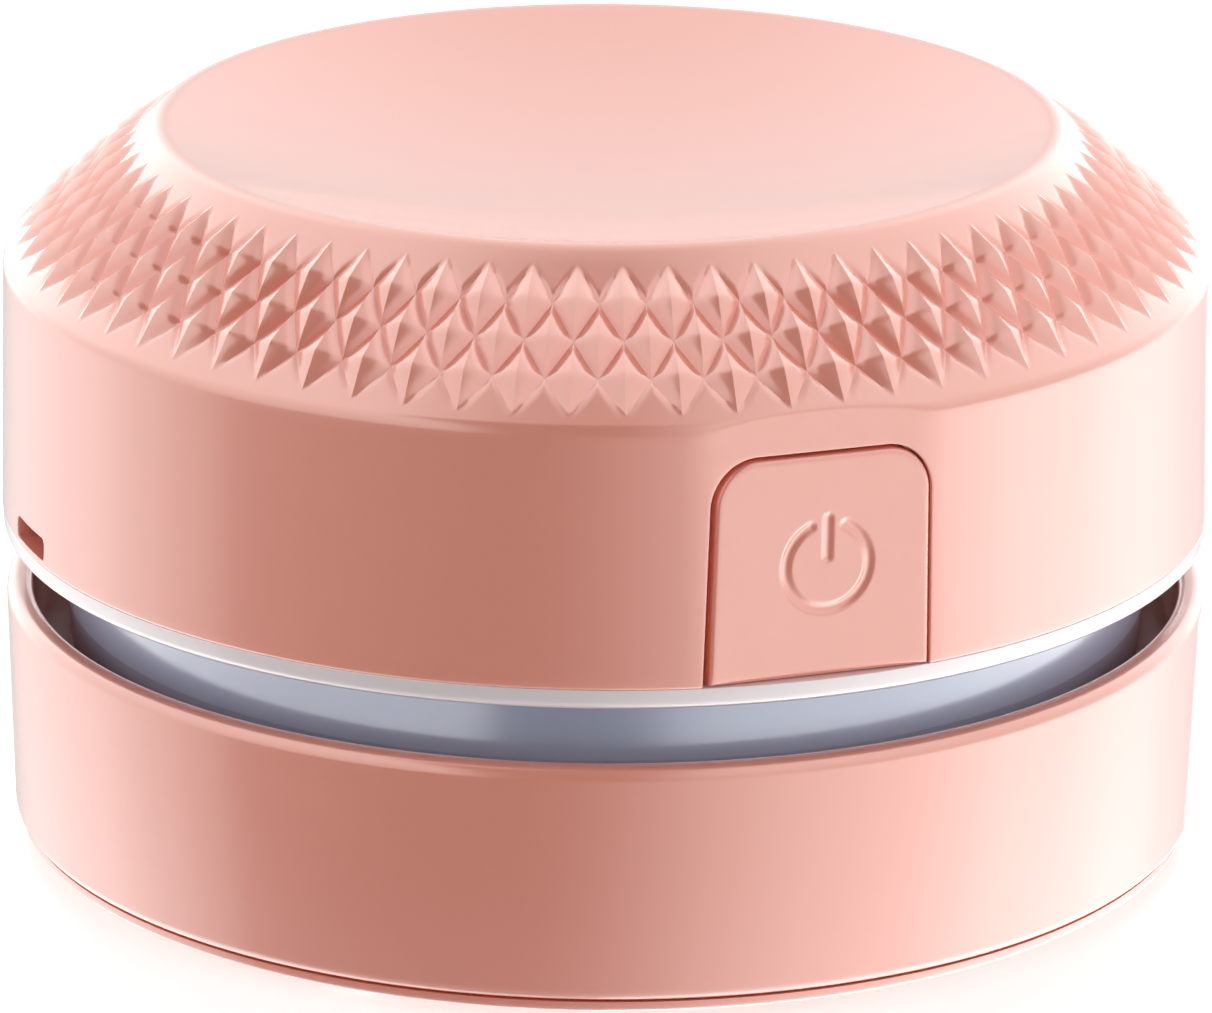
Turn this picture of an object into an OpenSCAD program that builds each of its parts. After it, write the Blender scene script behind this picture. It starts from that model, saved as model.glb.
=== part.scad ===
// Round desktop vacuum cleaner. A motor unit with a knurled bevel and a power button sits in a
// dust base, and a ring gap between the two lets the exhaust air out.
// Lengths are in millimetres. Z is up, the origin is on the table under the middle of the base,
// and the power button faces -Y.

/* [Motor unit] */
// Diameter of the motor unit at the foot of its wall
body_d = 85; // [83:0.5:92]
// Height of the straight wall, from its foot to the crease under the bevel
wall_h = 17.9; // [17.5:0.1:22]
// How much the wall's radius shrinks from its foot to the crease
wall_draft = 0.3; // [0:0.05:0.4]
// Height of the bevel, from the crease to the lip
bevel_h = 9.6; // [9.2:0.1:11]
// Diameter of the lip round the dish
lip_d = 62.6; // [58:0.2:66]
// Depth of the dish in the top
dish_depth = 4.4; // [3:0.1:4.8]
// Wall thickness of the top shell
shell_t = 1.8; // [1.4:0.1:2.2]
// Rounding of the crease between wall and bevel
crease_r = 1; // [0.5:0.1:1.5]
// Rounding of the lip
lip_r = 1.4; // [0.8:0.1:1.8]
// Rounding of the wall's foot
shell_edge_r = 0.5; // [0.3:0.1:1.2]

/* [Knurl] */
// Diamonds in one row, round the bevel
knurl_count = 70; // [50:1:90]
// Rows of diamonds
knurl_rows = 3; // [2:1:4]
// Height of a diamond's point above the bevel
knurl_h = 0.55; // [0.3:0.05:0.8]
// Plain strip between the crease and the knurl
knurl_low_land = 0.95; // [0.9:0.05:1.5]
// Plain strip between the knurl and the lip
knurl_high_land = 0.95; // [0.3:0.05:1.3]
// Share of its cell that a diamond covers, along each diagonal
knurl_cover_share = 0.8; // [0.6:0.02:0.92]

/* [Power button] */
// Width of the button
button_w = 15.4; // [12:0.1:16]
// Plain strip of wall between the button and the crease
button_top_land = 2.65; // [2.2:0.05:4]
// Radius of the button's two upper corners
button_corner_r = 3; // [1:0.1:4]
// Gap round the button
button_gap = 0.35; // [0.25:0.05:0.5]
// How far the flat behind the button lies inside the wall's curve
facet_depth = 0.77; // [0.6:0.01:0.9]
// How far the button travels when pressed
button_travel = 0.6; // [0.4:0.05:0.8]
// Radius of the ring in the power symbol, to the middle of its groove
symbol_r = 2.8; // [2:0.1:3.6]
// Width of the power symbol's groove
symbol_w = 0.7; // [0.5:0.05:0.9]

/* [Charging port] */
// Width of the port's opening in the wall
port_w = 7.2; // [6.9:0.1:7.4]
// Height of the port's opening
port_h = 1.8; // [1.5:0.1:2]
// Height of the port's middle above the foot of the wall
port_rise = 1.5; // [1.4:0.05:1.6]

/* [Chassis] */
// Width of the air ring between the base's wall and the white skirt
air_gap = 3.2; // [2.8:0.1:4]
// Wall thickness of the skirt
skirt_t = 1.9; // [1.6:0.1:2.2]
// How far the flange's edge lies inside the foot of the wall
flange_step = 0.1; // [0.05:0.05:0.65]
// Thickness of the flange and deck
flange_t = 1.4; // [1.2:0.1:1.8]
// Exhaust slots in the flange
slot_count = 48; // [24:1:56]
// Radius of the fan's air inlet in the deck
eye_r = 9; // [7:0.5:11]

/* [Base] */
// Height of the base, from the bottom plate's underside to the rim
base_h = 17.5; // [17:0.1:19]
// Height of the ring gap between base and motor unit
ring_gap = 4.2; // [3.6:0.1:4.8]
// How far the base's rim lies inside the foot of the motor unit's wall
rim_step = 0.2; // [0:0.05:0.5]
// How much the base's radius shrinks from its rim to its foot
cup_draft = 0.45; // [0.1:0.05:0.6]
// Wall thickness of the base at its rim
cup_t = 1.9; // [1.6:0.1:2.1]
// Thickness of the dust bin's floor
floor_t = 1.4; // [1.2:0.1:1.8]
// Radius of the suction inlet
inlet_r = 8; // [6:0.5:10]
// How far the feet stand out of the bottom plate
foot_h = 1; // [0.8:0.1:1.5]

/* [Motor and fan] */
// Diameter of the motor
motor_d = 24; // [22:0.5:24.4]
// Room between the motor's tail and the dish above it
motor_top_gap = 1; // [0.6:0.1:3]
// Diameter of the motor's shaft
shaft_d = 2; // [1.5:0.1:2.4]
// Gap between the impeller and the fan housing's wall
impeller_gap = 1.2; // [0.8:0.1:2]
// Blades on the impeller
blade_count = 9; // [5:1:12]
// Height of the fan housing
fan_h = 8.4; // [8:0.1:8.6]

/* [Battery] */
// Diameter of the lithium cell
cell_d = 14; // [12:0.1:14.2]
// Length of the lithium cell
cell_l = 43; // [38:0.5:44]
// Room between the cell's corners and the top shell's wall
cell_wall_gap = 1.3; // [0.8:0.1:2]

/* [Filter] */
// Height of the filter's pleats
pleat_h = 3.5; // [2.5:0.1:3.6]
// Pleats across the filter
pleat_count = 20; // [12:1:26]
// How far the motor unit turns on the filter to unlock it, in degrees
unlock_turn = 25; // [24:0.5:28]

/* [Hidden] */
$fn = 96;

// Clearances and small shared sizes
overrun = 1;
run_gap = 0.3;
seat_gap = 0.2;
bore_gap = 0.05;
corner_ease = 0.003;

// Colours
pink = [0.96, 0.73, 0.69];
white_plastic = [0.92, 0.93, 0.97];
steel = [0.72, 0.72, 0.74];
dark_rubber = [0.22, 0.22, 0.24];

// Heights of the stack, from the table up
plate_edge_t = 0.7;
seam_gap = 0.1;
base_z = foot_h;
cup_z = base_z + plate_edge_t + seam_gap;
rim_z = base_z + base_h;
flange_z = rim_z + ring_gap;
deck_z = flange_z + flange_t;
crease_z = deck_z + wall_h;
lip_z = crease_z + bevel_h;
dish_z = lip_z - dish_depth;

// Top shell
body_r = body_d / 2;
crease_x = body_r - wall_draft;
lip_x = lip_d / 2;
inner_r = body_r - shell_t;
bevel_angle = atan2(bevel_h, crease_x - lip_x);
bevel_l = norm([bevel_h, crease_x - lip_x]);
dish_r = (lip_x * lip_x + dish_depth * dish_depth) / (2 * dish_depth);
dish_centre_z = dish_z + dish_r;
// Where the bevel's inside meets the wall's inside, and where it reaches the lip's height
bevel_inner_z = crease_z - shell_t * cos(bevel_angle)
    + (crease_x - shell_t * sin(bevel_angle) - inner_r) * tan(bevel_angle);
bevel_inner_x = inner_r - (lip_z - bevel_inner_z) / tan(bevel_angle);

// Pillars that take the chassis screws
pillar_r = 2.6;
pillar_angles = [25, 155, 205, 335];
screw_shank_r = 0.85;
screw_head_r = 1.9;
screw_head_h = 1.2;
screw_hole_r = 1.1;
pilot_depth = 6;
cross_w = 0.5;
cross_depth = 0.6;

// Knurl
knurl_pitch = 360 / knurl_count;
knurl_step = (bevel_l - knurl_low_land - knurl_high_land) / (knurl_rows + 1);
knurl_skin = 0.08;
knurl_root = 0.5;

// Facet and button. The facet leans with the wall's draft.
facet_lean = atan2(wall_draft, wall_h);
facet_y = body_r - facet_depth;
button_foot = 0.25;
button_h = wall_h - button_foot - button_top_land;
button_mid_z = button_foot + button_h / 2;
button_frame_side = 2.8;
button_frame_w = button_w + 2 * button_frame_side;
button_frame_t = shell_t;
button_lip = 0.8;
button_lip_t = 1;
button_stop_gap = 0.2;
symbol_drop = 0.5;
symbol_depth = 0.3;
symbol_gap_angle = 54;
symbol_bar_l = 3;
symbol_bar_rise = 0.4;
stem_r = 2.2;
stem_l = 2;

// Switch behind the button, in depths behind the facet
lip_front = button_frame_t + button_stop_gap;
stem_end = lip_front + button_lip_t + stem_l;
plunger_r = 1.7;
plunger_l = 3.9;
plunger_free = 3.2;
switch_front = stem_end + plunger_free;
switch_w = 6.2;
switch_t = 3.5;
switch_well = plunger_l - plunger_free + button_travel + seat_gap;

// Charging socket and circuit board
socket_w = 7.5;
socket_h = 2.6;
socket_l = 5.2;
socket_wall = 0.25;
tongue_w = 3.7;
tongue_h = 0.6;
socket_recess = 0.5;
socket_x = inner_r - socket_recess;
port_z = deck_z + port_rise;
port_corner_r = 0.5;
board_z = port_z + socket_h / 2;
board_t = 1;
// The facet's frame leans, so the switch's back edge is the one that meets the board
switch_foot = board_z + board_t - deck_z + (switch_front + switch_t) * tan(facet_lean);
board_side_gap = 2.1;
board_w = 14.4;
board_r = inner_r - board_side_gap;
board_inner_r = board_r - board_w;
board_start = 176;
board_turn = 108;
// The board's front edge is cut straight, just behind the button's stem
board_front_gap = 0.7;
board_cut_y = facet_y - stem_end - board_front_gap;
board_screw_shank_r = 0.7;
// Board screws: distance in from the board's outer edge, and angle
board_screw_insets = [7.6, 5.6];
board_screw_angles = [184, 256];
board_screw_places = [for (i = [0:1]) [board_r - board_screw_insets[i], board_screw_angles[i]]];
board_post_r = 2;
// Board parts: distance in from the board's outer edge, angle, length, width, height
board_parts = [[5.6, 216, 5, 4, 1.5], [5.6, 232, 4, 4, 2.2], [8.6, 246, 3, 5, 1.2], [2.6, 200, 2.5, 3, 1]];

// Battery. The cell lies as far out as the top shell's wall lets its corners go.
cell_r = cell_d / 2;
cell_reach = inner_r - cell_wall_gap;
cell_y = sqrt(cell_reach * cell_reach - cell_l * cell_l / 4) - cell_r;
cell_z = deck_z + run_gap + cell_r;
cell_edge_r = 0.6;
cell_cap_r = 2.6;
cell_cap_h = 0.8;
saddle_inset = 7.5;
saddle_x = cell_l / 2 - saddle_inset;
saddle_t = 1.6;
saddle_share = 0.82;
rib_inset = 12.5;
rib_x = cell_l / 2 - rib_inset;
rib_t = 1.4;
rib_share = 0.7;

// Fan housing and motor. The housing fills the room beside the cell.
fan_r = cell_y - cell_r - 2 * run_gap;
fan_t = 1.2;
fan_roof_t = 1;
fan_roof_z = deck_z + fan_h - fan_roof_t;
fan_window_count = 8;
fan_window_turn = 28;
fan_window_h = 4.2;
fan_window_foot = 2;
fan_tab_r = 2.6;
fan_tab_t = 1.6;
fan_tab_angles = [0, 180, 270];
fan_tab_reach = 2.4;
fan_tab_ring_r = fan_r + fan_tab_reach;
fan_boss_r = 2.1;
fan_boss_h = 2.2;
motor_z = deck_z + fan_h;
motor_r = motor_d / 2;
motor_ring_t = 1.1;
motor_ring_h = 3;
motor_nose_r = 3;
motor_nose_h = 0.9;
motor_tail_h = 0.9;
motor_h = dish_z - shell_t - motor_top_gap - motor_tail_h - motor_z;
motor_edge_r = 0.8;
motor_screw_inset = 5.4;
motor_screw_ring_r = motor_r - motor_screw_inset;
motor_screw_shank_r = 0.9;
motor_screw_depth = 2.4;
motor_screw_head_r = 1.7;
motor_screw_head_h = 0.8;
motor_tab_w = 2.2;
motor_tab_t = 0.4;
motor_tab_h = 0.9;
shaft_r = shaft_d / 2;

// Impeller
impeller_r = fan_r - fan_t - impeller_gap;
impeller_foot = 1.5;
impeller_z = deck_z + impeller_foot;
blade_h = 3.3;
blade_t = 0.8;
blade_curve_r = 11;
blade_inner_r = 5.5;
blade_tip_inset = 0.4;
plate_t = 1;
hub_r = 3;
hub_top_z = fan_roof_z - run_gap;

// Chassis
flange_r = body_r - flange_step;
flange_edge_land = 0.1;
flange_edge_r = (flange_t - flange_edge_land) / 2;
rim_r = body_r - rim_step;
cup_in_r = rim_r - cup_t;
skirt_r = cup_in_r - air_gap;
skirt_in_r = skirt_r - skirt_t;
spigot_t = 0.8;
spigot_h = 1.6;
spigot_r = inner_r - run_gap;
slot_out_r = spigot_r - spigot_t - run_gap;
slot_in_r = skirt_r + run_gap;
slot_w = 3.2;
spigot_port_w = 10;
guard_t = 1.2;
guard_angles = [45, 135];
guard_w = 1.2;

// Base
cup_foot_r = rim_r - cup_draft;
cup_foot_edge_r = 0.8;
cup_rim_edge_r = 0.9;
cup_rim_inner_r = 0.6;
floor_rise = 3.2;
floor_z = base_z + floor_rise;
floor_top_z = floor_z + floor_t;
collar_out_r = skirt_in_r - run_gap;
collar_t = 1.4;
collar_in_r = collar_out_r - collar_t;
collar_drop = 1.3;
collar_top_z = rim_z - collar_drop;
inlet_t = 1.4;
inlet_out_r = inlet_r + inlet_t;
ledge_reach = 1.5;
cup_ledge_r = cup_in_r - ledge_reach;
// The dust bin's rim rests on the cup's ledge, and the bottom plate clamps it there
bin_floor_r = cup_ledge_r - run_gap;
bin_rim_r = cup_in_r - run_gap;
bin_rim_h = 1.4;
bin_rim_z = floor_top_z + bin_rim_h;
bin_edge_r = 0.4;
base_screw_ring_r = (collar_out_r + cup_ledge_r) / 2;
base_screw_angles = [45, 135, 225, 315];
base_screw_end_z = bin_rim_z - bin_rim_h / 2;
skirt_foot_gap = 0.4;
skirt_z = bin_rim_z + skirt_foot_gap;

// Bottom plate
plate_inset = 0.45;
plate_r = cup_foot_r - plate_inset;
plate_edge_r = 0.3;
plate_spigot_r = cup_in_r - run_gap;
plate_top_z = floor_z - seat_gap;
foot_ring_w = 8.6;
recess_r = plate_r - foot_ring_w;
recess_h = 1.4;
recess_z = base_z + recess_h;
flare_w = 3;
flare_r = inlet_r + flare_w;
bristle_inset = 3.8;
bristle_r = recess_r - bristle_inset;
bristle_w = 2.2;
bristle_channel_h = 1;
bristle_tip_z = 0.2;
bristle_turn = 72;
bristle_count = 4;
pad_r = 2.4;
pad_inset = 5.6;
pad_ring_r = plate_r - pad_inset;
pad_seat = 0.4;
pad_angles = [0, 90, 180, 270];
counterbore_h = 1.3;

// Filter and its twist lock
ring_foot_z = collar_top_z + seat_gap;
lock_t = 1.4;
lock_angles = [40, 160, 280];
lock_in_r = skirt_in_r - lock_t;
ledge_w = 1.3;
ledge_h = 1.2;
ledge_inset = 0.2;
ledge_turn = 24;
unlock_margin = 3;
lug_turn = 2 * (unlock_turn - unlock_margin) - ledge_turn;
lug_h = 1.2;
frame_out_r = lock_in_r - ledge_w - run_gap;
frame_t = 1.7;
frame_drop = 2.4;
frame_z = ring_foot_z - frame_drop;
frame_top_z = flange_z - run_gap;
frame_rib_w = 1.6;
frame_rib_h = 1.2;
frame_rib_count = 6;
frame_hub_r = 4;
lug_z = ring_foot_z + ledge_h + seat_gap;
seal_tube_r = (collar_in_r - frame_out_r) / 2 - bore_gap / 2;
seal_ring_r = (collar_in_r + frame_out_r) / 2;
seal_drop = 1.2;
seal_z = collar_top_z - seal_drop;
media_r = frame_out_r - frame_t - run_gap;
media_t = 0.7;
media_z = frame_z + frame_rib_h + run_gap;
// The suction inlet's tube ends below the filter
inlet_gap = 3;
inlet_top_z = frame_z - inlet_gap;
// The chassis screws' heads stay inside the filter's frame
pillar_inset = 3.6;
pillar_ring_r = frame_out_r - frame_t - pillar_inset;

// Unit vector along v
function along(v) = v / norm(v);

// Outline with round outer corners: each radius belongs to the point of the same index
module rounded(points, radii) {
    n = len(points);
    prev = [for (i = [0:n - 1]) along(points[(i + n - 1) % n] - points[i])];
    next = [for (i = [0:n - 1]) along(points[(i + 1) % n] - points[i])];
    half = [for (i = [0:n - 1]) acos(prev[i] * next[i]) / 2];
    polygon([for (i = [0:n - 1]) each radii[i] == 0
        ? [points[i]]
        : [points[i] + prev[i] * radii[i] / tan(half[i]),
           points[i] + next[i] * radii[i] / tan(half[i])]]);
    for (i = [0:n - 1])
        if (radii[i] > 0)
            translate(points[i] + along(prev[i] + next[i]) * radii[i] / sin(half[i]))
                circle(r = radii[i] - corner_ease);
}

// Ring with a square section
module ring(inner, outer, low, high) {
    rotate_extrude()
        translate([inner, low])
            square([outer - inner, high - low]);
}

// Part of a ring, turn degrees long and centred on the angle middle
module ring_part(inner, outer, low, high, middle, turn) {
    rotate([0, 0, middle - turn / 2])
        rotate_extrude(angle = turn)
            translate([inner, low])
                square([outer - inner, high - low]);
}

// Children copied to each angle, at a distance from the axis
module around(angles, distance) {
    for (a = angles)
        rotate([0, 0, a])
            translate([distance, 0, 0])
                children();
}

// Screw with its head's underside at z = 0 and its shank pointing up
module screw(shank_r, shank_l) {
    color(steel) {
        cylinder(r = shank_r, h = shank_l);
        difference() {
            translate([0, 0, -screw_head_h])
                cylinder(r = screw_head_r, h = screw_head_h);
            for (a = [0, 90])
                rotate([0, 0, a])
                    translate([-screw_head_r + cross_w, -cross_w / 2, -screw_head_h - overrun])
                        cube([2 * (screw_head_r - cross_w), cross_w, overrun + cross_depth]);
        }
    }
}

// Frame of the facet: x across, y into the unit, z up the flat from the foot of the wall
module on_facet() {
    translate([0, -facet_y, deck_z])
        rotate([-facet_lean, 0, 0])
            children();
}

// Upright plate in the facet's frame, from an outline in x and z
module facet_plate(depth, thickness) {
    translate([0, depth + thickness, 0])
        rotate([90, 0, 0])
            linear_extrude(height = thickness)
                children();
}

// Outline of the button, grown by a margin on its sides and top
module button_outline(margin, foot) {
    half_w = button_w / 2 + margin;
    top = button_foot + button_h + margin;
    rounded([[-half_w, foot], [half_w, foot], [half_w, top], [-half_w, top]],
        [0, 0, button_corner_r + margin, button_corner_r + margin]);
}

// Point on the bevel: up is the distance from the crease, lift the height above the surface
function on_bevel(up, lift, angle) =
    let (r = crease_x - up * cos(bevel_angle) + lift * sin(bevel_angle))
    [r * cos(angle), r * sin(angle), crease_z + up * sin(bevel_angle) + lift * cos(bevel_angle)];

// Band of raised diamonds. Rows are staggered by half a pitch, and the cells' corners form a
// lattice of knurl_rows + 2 levels. The band's back lies inside the shell's wall.
module knurl_band() {
    n = knurl_count;
    sides = 4;
    levels = knurl_rows + 2;
    lattice = [for (j = [0:levels - 1]) for (i = [0:n - 1])
        on_bevel(knurl_low_land + j * knurl_step, knurl_skin, (i + (j % 2) / 2) * knurl_pitch)];
    diamonds = [for (k = [1:knurl_rows]) for (i = [0:n - 1])
        let (up = knurl_low_land + k * knurl_step,
             middle = (i + ((k - 1) % 2) / 2) * knurl_pitch,
             reach = knurl_step * knurl_cover_share,
             side = knurl_pitch / 2 * knurl_cover_share)
        each [on_bevel(up - reach, knurl_skin, middle),
              on_bevel(up, knurl_skin, middle - side),
              on_bevel(up + reach, knurl_skin, middle),
              on_bevel(up, knurl_skin, middle + side),
              on_bevel(up, knurl_h, middle)]];
    back = [for (j = [0, levels - 1]) for (i = [0:n - 1])
        on_bevel(knurl_low_land + j * knurl_step, -knurl_root, (i + (j % 2) / 2) * knurl_pitch)];
    function corner(j, i) = j * n + (i + n) % n;
    function diamond(k, i, c) = levels * n + ((k - 1) * n + i) * (sides + 1) + c;
    function behind(e, i) = levels * n + knurl_rows * n * (sides + 1) + e * n + i % n;
    cells = [for (k = [1:knurl_rows]) for (i = [0:n - 1])
        let (odd = (k - 1) % 2,
             outer = [corner(k - 1, i), corner(k, i + odd - 1), corner(k + 1, i), corner(k, i + odd)],
             tip = diamond(k, i, sides))
        for (c = [0:sides - 1])
            let (next = (c + 1) % sides)
            each [[outer[c], outer[next], diamond(k, i, next)],
                  [outer[c], diamond(k, i, next), diamond(k, i, c)],
                  [diamond(k, i, c), diamond(k, i, next), tip]]];
    last = levels - 1;
    edges = [for (i = [0:n - 1])
        each [[corner(0, i), corner(1, i), corner(0, i + 1)],
              [corner(last, i), corner(last, i + 1), corner(last - 1, i + (knurl_rows - 1) % 2)],
              [corner(0, i), corner(0, i + 1), behind(0, i + 1), behind(0, i)],
              [corner(last, i + 1), corner(last, i), behind(1, i), behind(1, i + 1)],
              [behind(0, i), behind(0, i + 1), behind(1, i + 1)],
              [behind(0, i), behind(1, i + 1), behind(1, i)]]];
    polyhedron(points = concat(lattice, diamonds, back), faces = concat(cells, edges));
}

// Space inside the top shell, without what stands in it
module shell_space() {
    difference() {
        rotate_extrude()
            polygon([[0, deck_z - overrun], [inner_r, deck_z - overrun], [inner_r, bevel_inner_z],
                [bevel_inner_x, lip_z], [0, lip_z]]);
        translate([0, 0, dish_centre_z])
            sphere(r = dish_r + shell_t);
        around(pillar_angles, pillar_ring_r)
            translate([0, 0, deck_z])
                cylinder(r = pillar_r, h = lip_z - deck_z);
        on_facet()
            translate([-button_frame_w / 2, -facet_depth, 0])
                cube([button_frame_w, facet_depth + button_frame_t, wall_h]);
        cell_ribs();
    }
}

// Ribs that hold the cell down from above
module cell_ribs() {
    difference() {
        for (x = [-rib_x, rib_x])
            translate([x - rib_t / 2, cell_y - cell_r * rib_share, cell_z + cell_r * rib_share])
                cube([rib_t, 2 * cell_r * rib_share, lip_z - cell_z]);
        translate([-rib_x - rib_t, cell_y, cell_z])
            rotate([0, 90, 0])
                cylinder(r = cell_r + run_gap, h = 2 * (rib_x + rib_t));
    }
}

module top_shell() {
    color(pink) {
        difference() {
            rotate_extrude()
                rounded([[0, deck_z], [body_r, deck_z], [crease_x, crease_z], [lip_x, lip_z], [0, dish_z]],
                    [0, shell_edge_r, crease_r, lip_r, 0]);
            shell_space();
            translate([0, 0, dish_centre_z])
                sphere(r = dish_r);
            on_facet()
                translate([-body_r, -body_r, -body_r])
                    cube([body_d, body_r, body_d]);
            on_facet()
                facet_plate(-overrun, body_r - inner_r + 2 * overrun)
                    button_outline(button_gap, -overrun);
            translate([-body_r - overrun, 0, port_z])
                rotate([90, 0, 90])
                    linear_extrude(height = shell_t + 2 * overrun)
                        rounded([[-port_w / 2, -port_h / 2], [port_w / 2, -port_h / 2],
                            [port_w / 2, port_h / 2], [-port_w / 2, port_h / 2]],
                            [port_corner_r, port_corner_r, port_corner_r, port_corner_r]);
            around(pillar_angles, pillar_ring_r)
                translate([0, 0, deck_z - overrun])
                    cylinder(r = screw_shank_r, h = overrun + pilot_depth);
        }
        knurl_band();
    }
}

// Ring and bar of the power symbol, in x and z of the facet's frame
module power_symbol() {
    translate([0, -overrun, button_mid_z - symbol_drop]) {
        rotate([-90, 0, 0])
            rotate([0, 0, symbol_gap_angle / 2 - 90])
                rotate_extrude(angle = 360 - symbol_gap_angle)
                    translate([symbol_r - symbol_w / 2, 0])
                        square([symbol_w, overrun + symbol_depth]);
        translate([-symbol_w / 2, 0, symbol_r + symbol_bar_rise - symbol_bar_l])
            cube([symbol_w, overrun + symbol_depth, symbol_bar_l]);
    }
}

module power_button() {
    color(pink)
        on_facet() {
            difference() {
                facet_plate(0, lip_front)
                    button_outline(0, button_foot);
                power_symbol();
            }
            facet_plate(lip_front, button_lip_t)
                button_outline(button_lip, button_foot);
            translate([0, lip_front + button_lip_t, button_mid_z])
                rotate([-90, 0, 0])
                    cylinder(r = stem_r, h = stem_l);
        }
}

module switch_plunger() {
    color(dark_rubber)
        on_facet()
            translate([0, stem_end, button_mid_z])
                rotate([-90, 0, 0])
                    cylinder(r = plunger_r, h = plunger_l);
}

module tact_switch() {
    color(steel)
        on_facet()
            difference() {
                translate([-switch_w / 2, switch_front, switch_foot])
                    cube([switch_w, switch_t, button_mid_z + switch_w / 2 - switch_foot]);
                translate([0, switch_front - overrun, button_mid_z])
                    rotate([-90, 0, 0])
                        cylinder(r = plunger_r + bore_gap, h = overrun + switch_well);
            }
}

module chassis() {
    color(white_plastic) {
        difference() {
            union() {
                rotate_extrude()
                    rounded([[0, flange_z], [flange_r, flange_z], [flange_r, deck_z], [0, deck_z]],
                        [0, flange_edge_r, 0, 0]);
                ring(skirt_in_r, skirt_r, skirt_z, flange_z + flange_t / 2);
                ring(lock_in_r, skirt_in_r + skirt_t / 2, ring_foot_z, flange_z + flange_t / 2);
                spigot();
                around(fan_tab_angles, fan_tab_ring_r)
                    cylinder_at(fan_boss_r, flange_z - fan_boss_h, flange_z + flange_t / 2);
                for (p = board_screw_places)
                    around([p[1]], p[0])
                        cylinder_at(board_post_r, flange_z + flange_t / 2, board_z);
                cell_saddles();
            }
            translate([0, 0, flange_z - overrun])
                cylinder(r = eye_r, h = flange_t + 2 * overrun);
            around([for (i = [0:slot_count - 1]) i * 360 / slot_count], slot_in_r)
                translate([0, -slot_w / 2, flange_z - overrun])
                    cube([slot_out_r - slot_in_r, slot_w, flange_t + 2 * overrun]);
            around(pillar_angles, pillar_ring_r)
                translate([0, 0, flange_z - overrun])
                    cylinder(r = screw_hole_r, h = flange_t + 2 * overrun);
            around(fan_tab_angles, fan_tab_ring_r)
                translate([0, 0, flange_z - fan_boss_h / 2])
                    cylinder(r = screw_shank_r, h = flange_t + fan_boss_h);
            for (p = board_screw_places)
                around([p[1]], p[0])
                    translate([0, 0, deck_z])
                        cylinder(r = board_screw_shank_r, h = board_z - deck_z + overrun);
        }
        for (a = lock_angles)
            ring_part(lock_in_r - ledge_w, lock_in_r + lock_t / 2, ring_foot_z + ledge_inset,
                ring_foot_z + ledge_h, a, ledge_turn);
        for (a = guard_angles)
            rotate([0, 0, a])
                translate([-eye_r - guard_w / 2, -guard_w / 2, flange_z])
                    cube([2 * eye_r + guard_w, guard_w, guard_t]);
    }
}

// Rib that centres the top shell, open at the charging port and behind the button
module spigot() {
    difference() {
        ring(spigot_r - spigot_t, spigot_r, flange_z + flange_t / 2, deck_z + spigot_h);
        translate([-body_r, -spigot_port_w / 2, flange_z])
            cube([body_r - skirt_r, spigot_port_w, flange_t + spigot_h + overrun]);
        translate([-button_frame_w / 2 - run_gap, -body_r, flange_z])
            cube([button_frame_w + 2 * run_gap, body_r - skirt_r, flange_t + spigot_h + overrun]);
    }
}

// Two saddles under the cell
module cell_saddles() {
    difference() {
        for (x = [-saddle_x, saddle_x])
            translate([x - saddle_t / 2, cell_y - cell_r * saddle_share, flange_z + flange_t / 2])
                cube([saddle_t, 2 * cell_r * saddle_share, flange_t / 2 + cell_r * saddle_share]);
        translate([-saddle_x - saddle_t, cell_y, cell_z])
            rotate([0, 90, 0])
                cylinder(r = cell_r, h = 2 * (saddle_x + saddle_t));
    }
}

module chassis_screws() {
    around(pillar_angles, pillar_ring_r)
        translate([0, 0, flange_z])
            screw(screw_shank_r, pilot_depth);
}

module circuit_board() {
    color("darkgreen") {
        difference() {
            ring_part(board_inner_r, board_r, board_z, board_z + board_t,
                board_start + board_turn / 2, board_turn);
            translate([-body_r / 2, -board_cut_y - body_r, board_z - overrun])
                cube([body_r, body_r, board_t + 2 * overrun]);
            around(pillar_angles, pillar_ring_r)
                translate([0, 0, board_z - overrun])
                    cylinder(r = pillar_r + run_gap, h = board_t + 2 * overrun);
            for (p = board_screw_places)
                around([p[1]], p[0])
                    translate([0, 0, board_z - overrun])
                        cylinder(r = board_screw_shank_r, h = board_t + 2 * overrun);
        }
        for (p = board_parts)
            rotate([0, 0, p[1]])
                translate([board_r - p[0] - p[2] / 2, -p[3] / 2, board_z + board_t / 2])
                    cube([p[2], p[3], p[4] + board_t / 2]);
    }
}

module board_screws() {
    for (p = board_screw_places)
        around([p[1]], p[0])
            translate([0, 0, board_z + board_t])
                rotate([180, 0, 0])
                    screw(board_screw_shank_r, board_t + board_z - deck_z - seat_gap);
}

module usb_socket() {
    color(steel) {
        difference() {
            translate([-socket_x, -socket_w / 2, port_z - socket_h / 2])
                cube([socket_l, socket_w, socket_h]);
            translate([-socket_x - overrun, socket_wall - socket_w / 2, port_z + socket_wall - socket_h / 2])
                cube([socket_l - socket_wall + overrun, socket_w - 2 * socket_wall,
                    socket_h - 2 * socket_wall]);
        }
        translate([-socket_x + socket_wall, -tongue_w / 2, port_z - tongue_h / 2])
            cube([socket_l - socket_wall, tongue_w, tongue_h]);
    }
}

module battery_cell() {
    color("steelblue")
        translate([-cell_l / 2, cell_y, cell_z])
            rotate([0, 90, 0]) {
                rotate_extrude()
                    rounded([[0, 0], [cell_r, 0], [cell_r, cell_l - cell_cap_h], [0, cell_l - cell_cap_h]],
                        [0, cell_edge_r, cell_edge_r, 0]);
                cylinder(r = cell_cap_r, h = cell_l);
            }
}

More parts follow.
